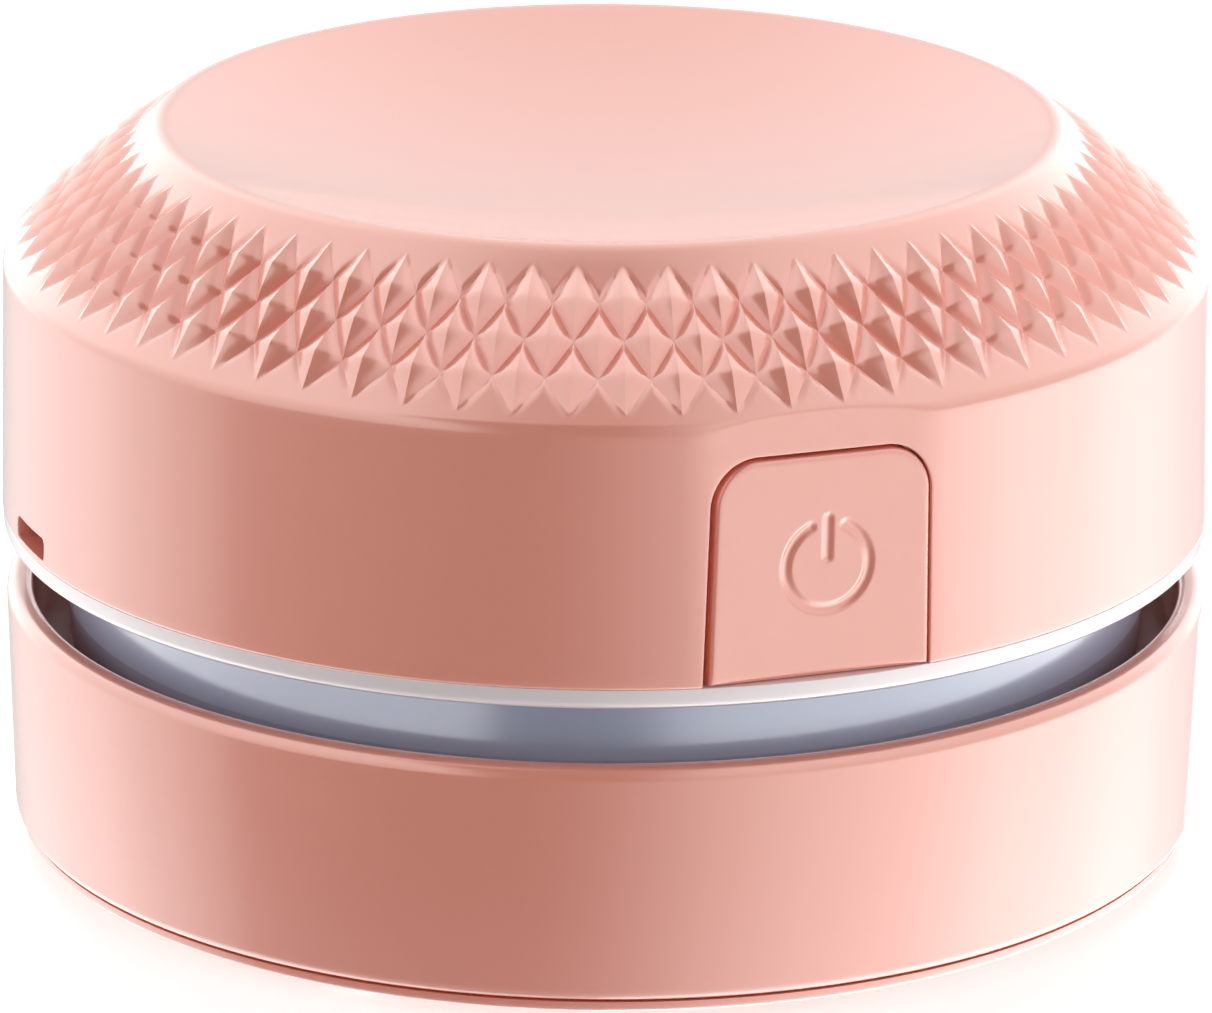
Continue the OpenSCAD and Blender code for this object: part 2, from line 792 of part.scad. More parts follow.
module fan_housing() {
    color("gainsboro")
        difference() {
            union() {
                cylinder_at(fan_r, deck_z, motor_z);
                ring(motor_r + bore_gap, motor_r + bore_gap + motor_ring_t, motor_z, motor_z + motor_ring_h);
                around(fan_tab_angles, fan_tab_ring_r)
                    cylinder_at(fan_tab_r, deck_z, deck_z + fan_tab_t);
            }
            cylinder_at(fan_r - fan_t, deck_z - overrun, fan_roof_z);
            cylinder_at(motor_nose_r + bore_gap, deck_z, motor_z + overrun);
            around([0, 180], motor_screw_ring_r)
                cylinder_at(motor_screw_shank_r, deck_z, motor_z + overrun);
            around(fan_tab_angles, fan_tab_ring_r)
                cylinder_at(screw_hole_r, deck_z - overrun, deck_z + fan_tab_t + overrun);
            for (i = [0:fan_window_count - 1])
                ring_part(fan_r - 2 * fan_t, fan_r + overrun, deck_z + fan_window_foot,
                    deck_z + fan_window_foot + fan_window_h, (i + 0.5) * 360 / fan_window_count,
                    fan_window_turn);
        }
}

// Upright cylinder between two heights
module cylinder_at(radius, low, high) {
    translate([0, 0, low])
        cylinder(r = radius, h = high - low);
}

module fan_screws() {
    around(fan_tab_angles, fan_tab_ring_r)
        translate([0, 0, deck_z + fan_tab_t])
            rotate([180, 0, 0])
                screw(screw_shank_r, fan_tab_t + flange_t + fan_boss_h / 2);
}

module motor_can() {
    color(steel)
        difference() {
            union() {
                rotate_extrude()
                    rounded([[0, motor_z], [motor_r, motor_z], [motor_r, motor_z + motor_h],
                        [0, motor_z + motor_h]], [0, motor_edge_r, motor_edge_r, 0]);
                cylinder_at(motor_nose_r, motor_z - motor_nose_h, motor_z + motor_nose_h);
                cylinder_at(motor_nose_r, motor_z, motor_z + motor_h + motor_tail_h);
                for (y = [-motor_r / 2, motor_r / 2])
                    translate([-motor_tab_w / 2, y, motor_z + motor_h])
                        cube([motor_tab_w, motor_tab_t, motor_tab_h]);
            }
            cylinder_at(shaft_r + bore_gap, motor_z - motor_nose_h - overrun, motor_z + motor_h);
            around([0, 180], motor_screw_ring_r)
                cylinder_at(motor_screw_shank_r, motor_z - overrun, motor_z + motor_screw_depth);
        }
}

module motor_screws() {
    around([0, 180], motor_screw_ring_r)
        translate([0, 0, fan_roof_z])
            screw_small();
}

// Motor screw with a low head under the fan housing's roof
module screw_small() {
    color(steel) {
        cylinder(r = motor_screw_shank_r, h = fan_roof_t + motor_screw_depth - seat_gap);
        translate([0, 0, -motor_screw_head_h])
            cylinder(r = motor_screw_head_r, h = motor_screw_head_h);
    }
}

module motor_shaft() {
    color(steel)
        cylinder_at(shaft_r, impeller_z, motor_z + motor_h - seat_gap);
}

// One curved blade: a slice of a thin ring that leans back from the hub
module blade() {
    intersection() {
        difference() {
            translate([blade_inner_r, blade_curve_r])
                circle(r = blade_curve_r);
            translate([blade_inner_r, blade_curve_r])
                circle(r = blade_curve_r - blade_t);
        }
        difference() {
            circle(r = impeller_r - blade_tip_inset);
            circle(r = blade_inner_r);
        }
        translate([blade_inner_r - blade_t, 0])
            square([impeller_r, blade_curve_r]);
    }
}

module impeller() {
    color("ghostwhite")
        difference() {
            union() {
                cylinder_at(impeller_r, impeller_z + blade_h, impeller_z + blade_h + plate_t);
                cylinder_at(hub_r, impeller_z, hub_top_z);
                translate([0, 0, impeller_z])
                    for (i = [0:blade_count - 1])
                        rotate([0, 0, i * 360 / blade_count])
                            linear_extrude(height = blade_h + plate_t / 2)
                                blade();
            }
            cylinder_at(shaft_r, impeller_z - overrun, hub_top_z + overrun);
        }
}

module filter_frame() {
    color("gainsboro") {
        ring(frame_out_r - frame_t, frame_out_r, frame_z, frame_top_z);
        cylinder_at(frame_hub_r, frame_z, frame_z + frame_rib_h);
        for (i = [0:frame_rib_count - 1])
            rotate([0, 0, i * 360 / frame_rib_count])
                translate([0, -frame_rib_w / 2, frame_z])
                    cube([frame_out_r - frame_t / 2, frame_rib_w, frame_rib_h]);
        for (a = lock_angles)
            ring_part(frame_out_r - frame_t / 2, lock_in_r - run_gap, lug_z, lug_z + lug_h, a, lug_turn);
    }
}

// Pleated sheet: one zigzag outline, trimmed to a disc
module filter_media() {
    step = media_r / pleat_count;
    low = [for (i = [-pleat_count:pleat_count])
        [i * step, media_z + (i % 2 == 0 ? 0 : pleat_h - media_t)]];
    high = [for (i = [pleat_count:-1:-pleat_count])
        [i * step, media_z + media_t + (i % 2 == 0 ? 0 : pleat_h - media_t)]];
    color("ivory")
        intersection() {
            translate([0, media_r, 0])
                rotate([90, 0, 0])
                    linear_extrude(height = 2 * media_r)
                        polygon(concat(low, high));
            cylinder_at(media_r, media_z - overrun, media_z + pleat_h + overrun);
        }
}

module filter_seal() {
    color(dark_rubber)
        rotate_extrude()
            translate([seal_ring_r, seal_z])
                circle(r = seal_tube_r);
}

module base_cup() {
    color(pink)
        rotate_extrude()
            rounded([[cup_in_r, cup_z], [cup_foot_r, cup_z], [rim_r, rim_z], [cup_in_r, rim_z],
                [cup_in_r, floor_top_z], [cup_ledge_r, floor_top_z], [cup_ledge_r, floor_z],
                [cup_in_r, floor_z]],
                [0, cup_foot_edge_r, cup_rim_edge_r, cup_rim_inner_r, 0, 0, 0, 0]);
}

// Floor with the collar that the filter seals in, and the tube of the suction inlet
module dust_bin() {
    color(pink)
        difference() {
            rotate_extrude()
                rounded([[inlet_r, floor_z], [bin_floor_r, floor_z], [bin_floor_r, floor_top_z],
                    [bin_rim_r, floor_top_z], [bin_rim_r, bin_rim_z], [collar_out_r, bin_rim_z],
                    [collar_out_r, collar_top_z], [collar_in_r, collar_top_z], [collar_in_r, floor_top_z],
                    [inlet_out_r, floor_top_z], [inlet_out_r, inlet_top_z], [inlet_r, inlet_top_z]],
                    [0, 0, 0, 0, bin_edge_r, 0, bin_edge_r, bin_edge_r, 0, 0, bin_edge_r, bin_edge_r]);
            around(base_screw_angles, base_screw_ring_r)
                cylinder_at(screw_shank_r, floor_z - overrun, base_screw_end_z);
        }
}

module bottom_plate() {
    color(pink)
        difference() {
            rotate_extrude()
                rounded([[flare_r, recess_z], [recess_r, recess_z], [recess_r, base_z], [plate_r, base_z],
                    [plate_r, base_z + plate_edge_t], [plate_spigot_r, base_z + plate_edge_t],
                    [plate_spigot_r, plate_top_z], [inlet_r, plate_top_z]],
                    [0, 0, 0, plate_edge_r, 0, 0, 0, 0]);
            for (i = [0:bristle_count - 1])
                ring_part(bristle_r - bristle_w / 2, bristle_r + bristle_w / 2, recess_z - overrun,
                    recess_z + bristle_channel_h, (i + 0.5) * 360 / bristle_count, bristle_turn);
            around(pad_angles, pad_ring_r)
                cylinder_at(pad_r, base_z - overrun, base_z + pad_seat);
            around(base_screw_angles, base_screw_ring_r) {
                cylinder_at(screw_head_r + seat_gap, base_z - overrun, base_z + counterbore_h);
                cylinder_at(screw_hole_r, base_z, plate_top_z + overrun);
            }
        }
}

module base_screws() {
    around(base_screw_angles, base_screw_ring_r)
        translate([0, 0, base_z + counterbore_h])
            screw(screw_shank_r, base_screw_end_z - base_z - counterbore_h);
}

module bristle_strips() {
    color("dimgray")
        for (i = [0:bristle_count - 1])
            ring_part(bristle_r - bristle_w / 2, bristle_r + bristle_w / 2, bristle_tip_z,
                recess_z + bristle_channel_h, (i + 0.5) * 360 / bristle_count, bristle_turn);
}

module foot_pads() {
    color(dark_rubber)
        around(pad_angles, pad_ring_r)
            cylinder_at(pad_r, 0, base_z + pad_seat);
}

top_shell();
power_button();
switch_plunger();
tact_switch();
chassis();
chassis_screws();
circuit_board();
board_screws();
usb_socket();
battery_cell();
fan_housing();
fan_screws();
motor_can();
motor_screws();
motor_shaft();
impeller();
filter_frame();
filter_media();
filter_seal();
base_cup();
dust_bin();
bottom_plate();
base_screws();
bristle_strips();
foot_pads();
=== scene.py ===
import math
import bpy
import numpy as np
from mathutils import Matrix, Vector


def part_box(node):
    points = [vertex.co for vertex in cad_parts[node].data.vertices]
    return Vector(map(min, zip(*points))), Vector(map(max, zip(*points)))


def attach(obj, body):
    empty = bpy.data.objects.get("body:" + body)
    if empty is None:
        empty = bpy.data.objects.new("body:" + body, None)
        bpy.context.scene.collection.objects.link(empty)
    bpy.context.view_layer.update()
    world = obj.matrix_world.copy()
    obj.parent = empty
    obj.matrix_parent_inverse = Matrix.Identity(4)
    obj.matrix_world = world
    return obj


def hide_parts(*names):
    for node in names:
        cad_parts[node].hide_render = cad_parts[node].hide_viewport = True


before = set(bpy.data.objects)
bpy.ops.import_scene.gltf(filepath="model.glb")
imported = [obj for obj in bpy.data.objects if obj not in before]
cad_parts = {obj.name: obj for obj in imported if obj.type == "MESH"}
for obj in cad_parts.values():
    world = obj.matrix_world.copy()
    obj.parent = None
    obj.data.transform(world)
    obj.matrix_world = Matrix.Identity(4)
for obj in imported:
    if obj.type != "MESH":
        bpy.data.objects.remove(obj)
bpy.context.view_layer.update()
scene = bpy.context.scene
mm = 0.001
turn = 2 * np.pi

# Camera, worked out from the round outlines of base, rim, crease and lip
camera = {"azimuth": -19.7, "distance": 587.6, "height": 215.5, "pitch": 18.137, "roll": 0.371,
          "focalPixels": 8757, "frameWidth": 1212, "sensorWidth": 36.0}


def addCamera():
    # in front and turned to the side, raised, then pitched down and rolled
    data = bpy.data.cameras.new("camera")
    data.sensor_width = camera["sensorWidth"]
    data.lens = camera["focalPixels"] / camera["frameWidth"] * camera["sensorWidth"]
    data.clip_start = 0.05
    data.clip_end = 20
    side = math.radians(camera["azimuth"])
    place = Vector((math.sin(side), -math.cos(side), 0)) * camera["distance"] * mm
    place.z = camera["height"] * mm
    look = Matrix.Rotation(side, 4, "Z") @ Matrix.Rotation(math.radians(90 - camera["pitch"]), 4, "X")
    roll = Matrix.Rotation(math.radians(camera["roll"]), 4, "Z")
    obj = bpy.data.objects.new("camera", data)
    obj.matrix_world = Matrix.Translation(place) @ look @ roll
    scene.collection.objects.link(obj)
    scene.camera = obj


# Mesh helpers. A face array has one row of point numbers per face, three or four wide.

def gridFaces(rows, columns, closed=False):
    # quads between neighbouring rows and columns of a row-major grid
    i, j = np.meshgrid(np.arange(rows - 1), np.arange(columns if closed else columns - 1), indexing="ij")
    k = (j + 1) % columns
    low, high = i * columns, (i + 1) * columns
    return np.stack([low + j, low + k, high + k, high + j], -1).reshape(-1, 4)


def borderOf(number):
    # point numbers round the edge of a grid of numbers: up the first column, along the last row and back
    return np.concatenate([number[:-1, 0], number[-1, :-1], number[:0:-1, -1], number[0, :0:-1]])


def blockLoop(low, top, left, right, closed):
    # rows and columns round a block of a grid, from its low left corner up and over to the low right one,
    # and back along the low row if closed
    loop = [(i, left) for i in range(low, top + 1)]
    loop += [(top, j) for j in range(left + 1, right)]
    loop += [(i, right) for i in range(top, low - 1, -1)]
    if closed:
        loop += [(low, j) for j in range(right - 1, left - 1, -1)]
    return np.array(loop)


def rightAngleShares(shares):
    # angles that are these shares of a right angle
    return [share * np.pi / 2 for share in shares]


def keptFaces(numbers, keep):
    # quads of a grid of point numbers that closes on itself, where keep is true
    i, j = np.nonzero(keep)
    k = (j + 1) % numbers.shape[1]
    return np.stack([numbers[i, j], numbers[i + 1, j], numbers[i + 1, k], numbers[i, k]], -1)


def carryRound(line, angle):
    # each point (radius, height) of a line carried round an upright axis: radius times cosine and sine
    r, z = line[:, :1], line[:, 1:]
    return np.stack([r * np.cos(angle), r * np.sin(angle), z + 0 * angle], -1)


def stitch(a, b):
    # triangles between two lines of point numbers, taken in step with the share of each line passed
    tieBreak = 1e-7
    midA = (np.arange(len(a) - 1) + 0.5) / (len(a) - 1)
    midB = (np.arange(len(b) - 1) + 0.5) / (len(b) - 1) + tieBreak
    besideA = np.searchsorted(midB, midA)
    besideB = np.searchsorted(midA, midB)
    return np.vstack([np.stack([a[:-1], a[1:], b[besideA]], 1), np.stack([a[besideB], b[1:], b[:-1]], 1)])


def weld(points, faces):
    # one point for each place, then faces whose points fell together lose them
    grain = 1.37e-4
    key = np.round(points / grain).astype(np.int64)
    _, first, same = np.unique(key, axis=0, return_index=True, return_inverse=True)
    same = same.reshape(-1)
    quads = [same[f] for f in faces if f.shape[1] == 4]
    tris = [same[f] for f in faces if f.shape[1] == 3]
    kept = []
    for f in quads:
        double = f == np.roll(f, -1, axis=1)
        kept.append(f[~double.any(1)])
        for k in range(4):
            tris.append(np.delete(f[double[:, k] & (double.sum(1) == 1)], k, axis=1))
    tris = [f[(f[:, 0] != f[:, 1]) & (f[:, 1] != f[:, 2]) & (f[:, 2] != f[:, 0])] for f in tris]
    return points[first], [f for f in kept + tris if len(f)]


def makePiece(name, points, faces, body, slot, material, replaced=(), sharp=35):
    points, faces = weld(np.asarray(points, float), faces)
    mesh = bpy.data.meshes.new(name)
    mesh.vertices.add(len(points))
    mesh.vertices.foreach_set("co", (points * mm).astype(np.float32).ravel())
    sizes = np.concatenate([np.full(len(f), f.shape[1]) for f in faces])
    corners = np.concatenate([f.ravel() for f in faces]).astype(np.int32)
    mesh.loops.add(len(corners))
    mesh.loops.foreach_set("vertex_index", corners)
    mesh.polygons.add(len(sizes))
    mesh.polygons.foreach_set("loop_start", np.concatenate([[0], np.cumsum(sizes)[:-1]]).astype(np.int32))
    mesh.polygons.foreach_set("use_smooth", np.ones(len(sizes), bool))
    mesh.update(calc_edges=True)
    mesh.validate()
    mesh.set_sharp_from_angle(angle=math.radians(sharp))
    mesh.materials.append(material)
    obj = bpy.data.objects.new(name, mesh)
    scene.collection.objects.link(obj)
    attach(obj, body)
    if replaced:
        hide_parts(*replaced)
    print(name, len(points), "points", int((sizes - 2).sum()), "triangles")


def roundCorner(before, corner, after, radius, steps):
    # points of the arc that touches both sides of the corner
    before, corner, after = (np.asarray(p, float) for p in (before, corner, after))
    a = (before - corner) / np.linalg.norm(before - corner)
    b = (after - corner) / np.linalg.norm(after - corner)
    half = math.acos(float(a @ b)) / 2
    middle = (a + b) / np.linalg.norm(a + b)
    centre = corner + middle * radius / math.sin(half)
    start = corner + a * radius / math.tan(half) - centre
    end = corner + b * radius / math.tan(half) - centre
    sweep = math.atan2(start[0] * end[1] - start[1] * end[0], float(start @ end))
    angle = math.atan2(start[1], start[0]) + np.linspace(0, sweep, steps + 1)
    return centre + radius * np.stack([np.cos(angle), np.sin(angle)], 1)


def roundOutline(corners, steps=6):
    # closed outline from corners (radius, height, rounding), each rounding drawn as an arc
    corners = np.asarray(corners, float)
    line = []
    for before, corner, after in zip(np.roll(corners, 1, axis=0), corners, np.roll(corners, -1, axis=0)):
        if corner[2] > 0:
            line.append(roundCorner(before[:2], corner[:2], after[:2], corner[2], steps))
        else:
            line.append(corner[None, :2])
    return np.vstack(line)


def revolve(outline, columns, centre=(0, 0)):
    # a closed outline carried round, then moved to the centre
    line = np.vstack([outline, outline[:1]])
    points = carryRound(line, np.arange(columns) / columns * turn) + [*centre, 0]
    return points.reshape(-1, 3), [gridFaces(len(line), columns, closed=True)]


def gather(parts):
    # several point and face sets as one
    points, faces, total = [], [], 0
    for somePoints, someFaces in parts:
        points.append(somePoints)
        faces += [f + total for f in someFaces]
        total += len(somePoints)
    return np.vstack(points), faces


def softMin(a, b, reach):
    # the smaller of two values, with a rounded change-over
    h = np.clip(0.5 + 0.5 * (b - a) / reach, 0, 1)
    return b + (a - b) * h - reach * h * (1 - h)


# Materials

class Tree:
    # a node tree and a short way to add nodes to it

    def __init__(self, owner, shader):
        owner.use_nodes = True
        self.tree = owner.node_tree
        self.shader = self.tree.nodes[shader]

    def set(self, **values):
        for name, value in values.items():
            self.give(self.shader.inputs[name.replace("_", " ")], value)

    def ease(self, value, start, end, low, high):
        return self.node("ShaderNodeMapRange", {"interpolation_type": "SMOOTHSTEP"}, Value=value,
                         From_Min=start, From_Max=end, To_Min=low, To_Max=high).output()

    def give(self, socket, value):
        if isinstance(value, Wire):
            self.tree.links.new(value.socket, socket)
        elif socket.type == "RGBA" and len(value) == 3:
            socket.default_value = (*value, 1)
        else:
            socket.default_value = value

    def node(self, kind, settings=None, **sockets):
        made = self.tree.nodes.new(kind)
        for name, value in (settings or {}).items():
            setattr(made, name, value)
        for name, value in sockets.items():
            key = int(name[1:]) if name[1:].isdigit() else name.replace("_", " ")
            self.give(made.inputs[key], value)
        return Made(self, made)


class Finish(Tree):
    # a principled material whose patterns follow the object's own coordinates

    def __init__(self, name, **values):
        self.material = bpy.data.materials.new(name)
        super().__init__(self.material, "Principled BSDF")
        self.place = self.node("ShaderNodeTexCoord").output("Object")
        self.set(**values)


class Made:
    # a node that hands out its outputs as wires

    def __init__(self, tree, made):
        self.tree, self.made = tree, made

    def output(self, name=0):
        return Wire(self.tree, self.made.outputs[name])


class Wire:
    # a socket that takes part in sums and comparisons

    def __init__(self, tree, socket):
        self.tree, self.socket = tree, socket

    def sum(self, operation, a, b):
        return self.tree.node("ShaderNodeMath", {"operation": operation}, s0=a, s1=b).output()

    def above(self, limit):
        return self.sum("GREATER_THAN", self, limit)

    def larger(self, other):
        return self.sum("MAXIMUM", self, other)

    def size(self):
        return self.sum("ABSOLUTE", self, 0)

    def __add__(self, other):
        return self.sum("ADD", self, other)

    def __radd__(self, other):
        return self.sum("ADD", other, self)

    def __sub__(self, other):
        return self.sum("SUBTRACT", self, other)

    def __rsub__(self, other):
        return self.sum("SUBTRACT", other, self)

    def __mul__(self, other):
        return self.sum("MULTIPLY", self, other)

    def __rmul__(self, other):
        return self.sum("MULTIPLY", other, self)


def noise(finish, scale, detail=3):
    # scales are per metre
    return finish.node("ShaderNodeTexNoise", Vector=finish.place, Scale=scale, Detail=detail).output("Fac")


def mixColour(finish, factor, a, b):
    return finish.node("ShaderNodeMix", {"data_type": "RGBA"}, Factor=factor, s6=a, s7=b).output(2)


def bump(finish, height, distance):
    return finish.node("ShaderNodeBump", Height=height, Distance=distance).output()


# Plastics: two shades that the flow marks mix, the gloss, the depth of the orange peel in metres, and the
# weight of the clear coat
plastics = {"flowScale": 60, "smudgeScale": 220, "peelScale": 900, "smudge": 0.06, "coatGloss": 0.1}
metal = {"stretch": (1, 1, 12), "lineScale": 700, "cloudScale": 300, "darker": 0.86, "lineGloss": 0.16,
         "lineDepth": 0.000003}


def mouldedPlastic(name, colour, shade, gloss, grain=0.000004, coat=0.0, index=1.5):
    # faint flow marks in the colour, faint smudges in the gloss, a trace of orange peel
    f, p = Finish(name), plastics
    flow = noise(f, p["flowScale"], 2)
    smudge = noise(f, p["smudgeScale"], 4)
    peel = noise(f, p["peelScale"], 2)
    f.set(Base_Color=mixColour(f, flow, colour, shade), Roughness=gloss + smudge * p["smudge"],
          Normal=bump(f, peel, grain), Coat_Weight=coat, Coat_Roughness=p["coatGloss"],
          IOR=index, Coat_IOR=index)
    return f.material


def platedSteel(name, colour, gloss):
    # fine lines along Z in the gloss, and clouds of a darker shade
    f, m = Finish(name, Metallic=1.0), metal
    brushed = f.node("ShaderNodeMapping", Vector=f.place, Scale=m["stretch"]).output()
    lines = f.node("ShaderNodeTexNoise", Vector=brushed, Scale=m["lineScale"], Detail=2).output("Fac")
    f.set(Base_Color=mixColour(f, noise(f, m["cloudScale"]), colour, [c * m["darker"] for c in colour]),
          Roughness=gloss + lines * m["lineGloss"], Normal=bump(f, lines, m["lineDepth"]))
    return f.material


pinkPlastic = mouldedPlastic("pinkPlastic", (0.885, 0.335, 0.25), (0.865, 0.32, 0.235), 0.26, coat=1.0)
whitePlastic = mouldedPlastic("whitePlastic", (0.88, 0.80, 0.81), (0.86, 0.78, 0.79), 0.26, coat=1.0)
# the skirt's white plastic, darkened and tinted blue: painted shade of the narrow gap under the flange and a
# painted bluish reflection
skirtPaintedShade = mouldedPlastic("skirtPaintedShade", (0.45, 0.53, 0.70), (0.43, 0.51, 0.68), 0.26, coat=1.0,
                             index=1.65)
greyPlastic = mouldedPlastic("greyPlastic", (0.52, 0.53, 0.56), (0.49, 0.5, 0.53), 0.36)
blackPlastic = mouldedPlastic("blackPlastic", (0.02, 0.02, 0.022), (0.03, 0.03, 0.032), 0.45)
softRubber = mouldedPlastic("softRubber", (0.035, 0.035, 0.038), (0.05, 0.05, 0.052), 0.62, grain=0.00001)
steel = platedSteel("platedSteel", (0.68, 0.68, 0.70), 0.2)


# Top shell

shell = {"bodyRadius": 42.5, "wallHeight": 17.9, "draft": 0.3, "bevelHeight": 9.6, "lipRadius": 31.3,
         "dishDepth": 4.4, "wall": 1.8, "footRound": 0.25, "creaseRound": 1.0, "lipRound": 1.4,
         "facetDepth": 0.77, "facetBlend": 0.2, "edgeRound": 0.14, "sharp": 30,
         # steps of the roundings, rows and columns of the mesh, shares of the way round an opening's edge
         "footSteps": 5, "creaseSteps": 5, "lipSteps": 8, "columnsPerDiamond": 16, "landRows": 7,
         "wallRows": (0.6, 1.3, 2.1, 3.2, 4.8, 7.0, 9.4), "cornerBelow": 0.1, "cornerAbove": 4.7,
         "cornerRows": 11, "dishRows": (0.965, 0.9, 0.8, 0.66, 0.5, 0.34, 0.18, 0.06),
         "insideColumns": 120, "insideRows": (0.3, 4.2, 8, 16.6), "insideDish": (0.7, 0.35),
         "leastRow": 0.02, "borderShares": (0.55, 0.25, 0.08, 0), "edgeShares": (0.35, 0.7, 1)}
knurl = {"count": 70, "rows": 3, "height": 0.62, "lowLand": 1.1, "highLand": 1.75, "ridge": 0.02,
         "grooveDepth": 0.2, "grooveWidth": 0.26, "fade": 0.12, "stepsPerRow": 8}
button = {"width": 15.55, "height": 15.25, "corner": 3.0, "foot": 0.08, "gap": 0.25, "round": 0.3,
          "shift": 0.15, "slant": 0.6, "margin": 1.3, "inWide": 5, "inRows": 3,
          "frontDepth": 2.0, "lip": 0.8, "lipDepth": 1.0, "stemRadius": 2.2, "stemLength": 2.0,
          "stemTip": 0.88, "stemSink": 0.3, "stemColumns": 48, "roundSteps": 4,
          "symbolLines": 111, "sideLines": 14, "lowLines": 10, "highLines": 14}
symbol = {"radius": 3.0, "width": 0.55, "depth": 0.2, "gapAngle": 50, "barLength": 3.2, "barRise": 0.5,
          "shift": 0.38, "edge": 0.5}
port = {"width": 6.0, "height": 1.6, "corner": 0.4, "rise": 1.25, "shift": 0.7, "margin": 0.8,
        "marginLow": 0.3, "marginHigh": 0.5, "inWide": 3, "inRows": 1}

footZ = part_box("top_shell")[0].z / mm
creaseZ = footZ + shell["wallHeight"]
creaseR = shell["bodyRadius"] - shell["draft"]
lipZ = creaseZ + shell["bevelHeight"]
innerR = shell["bodyRadius"] - shell["wall"]
bevelAngle = math.atan2(shell["bevelHeight"], creaseR - shell["lipRadius"])
bevelLength = math.hypot(shell["bevelHeight"], creaseR - shell["lipRadius"])
dishRadius = (shell["lipRadius"] ** 2 + shell["dishDepth"] ** 2) / (2 * shell["dishDepth"])
dishCentreZ = lipZ - shell["dishDepth"] + dishRadius
facetY = shell["bodyRadius"] - shell["facetDepth"]
facetLean = shell["draft"] / shell["wallHeight"]
footArc = roundCorner([innerR, footZ], [shell["bodyRadius"], footZ], [creaseR, creaseZ], shell["footRound"],
                      shell["footSteps"])
knurlStep = (bevelLength - knurl["lowLand"] - knurl["highLand"]) / (knurl["rows"] + 1)


def dishHeight(r, drop=0.0):
    # height of the hollow top at radius r, on a sphere
    return dishCentreZ - np.sqrt((dishRadius + drop) ** 2 - r ** 2)


def knurlLift(up, angle):
    # Four-sided points in offset rows, with grooves between them. Near is 1 on a point's tip and 0 in a
    # groove: one less the shares of the way to the point's side and to its end, both softened at the ridges.
    # Each groove is a bell curve of near that runs out towards the tips of the first and last row.
    near = np.full(np.broadcast(up, angle).shape, -1.0)
    ridge = knurl["ridge"]
    for row in range(1, knurl["rows"] + 1):
        along = angle / turn * knurl["count"] - ((row - 1) % 2) / 2
        aside = 2 * (along - np.round(along))
        above = (up - knurl["lowLand"] - row * knurlStep) / knurlStep
        near = np.maximum(near, 1 + ridge - np.hypot(aside, ridge) - np.hypot(above, ridge))
    groove = np.exp(-(near / np.where(near > 0, knurl["grooveWidth"], knurl["fade"])) ** 2)
    top = knurl["lowLand"] + (knurl["rows"] + 1) * knurlStep
    inset = np.clip(np.minimum(up - knurl["lowLand"], top - up) / knurlStep, 0, 1)
    return knurl["height"] * np.maximum(near, 0) - knurl["grooveDepth"] * groove * inset


def wallRadius(z):
    # radius of the wall, which narrows evenly from foot to crease
    return shell["bodyRadius"] - (z - footZ) * facetLean


def facetDistance(z):
    # how far in front of the axis the flat lies: it leans as the wall does
    return facetY - (z - footZ) * facetLean


def faceted(y, z):
    # the flat in front: where the round wall stands past it, the wall moves back to it along Y
    return np.where(y < 0, -softMin(-y, facetDistance(z), shell["facetBlend"]), y)


def slanted(across, up):
    # the button's left edge leans to the right as it rises, and its right edge stands straight
    return across + button["slant"] * up / button["height"] * (0.5 - across / button["width"])


def shellProfile():
    # rows of the outside as radius and height, from the foot's inner edge to the middle, their distances up
    # the bevel, and the numbers of the wall's first row and of the row past its last
    wallLine = np.array([creaseR - shell["bodyRadius"], shell["wallHeight"]])
    foot = np.array([shell["bodyRadius"], footZ])
    crease = np.array([creaseR, creaseZ])
    lip = np.array([shell["lipRadius"], lipZ])
    dishSlope = math.asin(shell["lipRadius"] / dishRadius)
    intoDish = lip + np.array([-math.cos(dishSlope), -math.sin(dishSlope)])
    creaseArc = roundCorner(foot, crease, lip, shell["creaseRound"], shell["creaseSteps"])
    lipArc = roundCorner(crease, lip, intoDish, shell["lipRound"], shell["lipSteps"])
    low = footArc[-1, 1] - footZ
    cornerLow = button["foot"] + button["height"] - button["corner"]
    fine = np.linspace(cornerLow - shell["cornerBelow"], cornerLow + shell["cornerAbove"],
                       shell["cornerRows"])
    heights = np.array([low + h for h in shell["wallRows"]] + list(fine))
    wall = foot + wallLine * (heights / shell["wallHeight"])[:, None]
    direction = (lip - crease) / bevelLength
    count = (knurl["rows"] + 1) * knurl["stepsPerRow"]
    ups = knurl["lowLand"] + np.arange(count + 1) * knurlStep / knurl["stepsPerRow"]
    startUp = (creaseArc[-1] - crease) @ direction
    endUp = (lipArc[0] - crease) @ direction
    land = np.linspace(startUp, knurl["lowLand"], shell["landRows"])[1:-1]
    ups = np.concatenate([land, ups[ups < endUp - shell["leastRow"]]])
    bevel = crease + ups[:, None] * direction
    dishR = np.array(shell["dishRows"]) * shell["lipRadius"]
    dish = np.stack([dishR, dishHeight(dishR)], 1)
    rows = np.vstack([[[innerR, footZ]], footArc, wall, creaseArc, bevel, lipArc, dish])
    up = (rows - crease) @ direction
    onBevel = np.zeros(len(rows), bool)
    first = 1 + len(footArc) + len(wall)
    onBevel[first:first + len(creaseArc) + len(bevel) + len(lipArc)] = True
    return rows, np.where(onBevel, up, -1.0), 1 + len(footArc), first


def shareBeyond(value, start, end):
    # 0 up to the start, 1 at the end
    return np.clip((value - start) / (end - start), 0, 1)


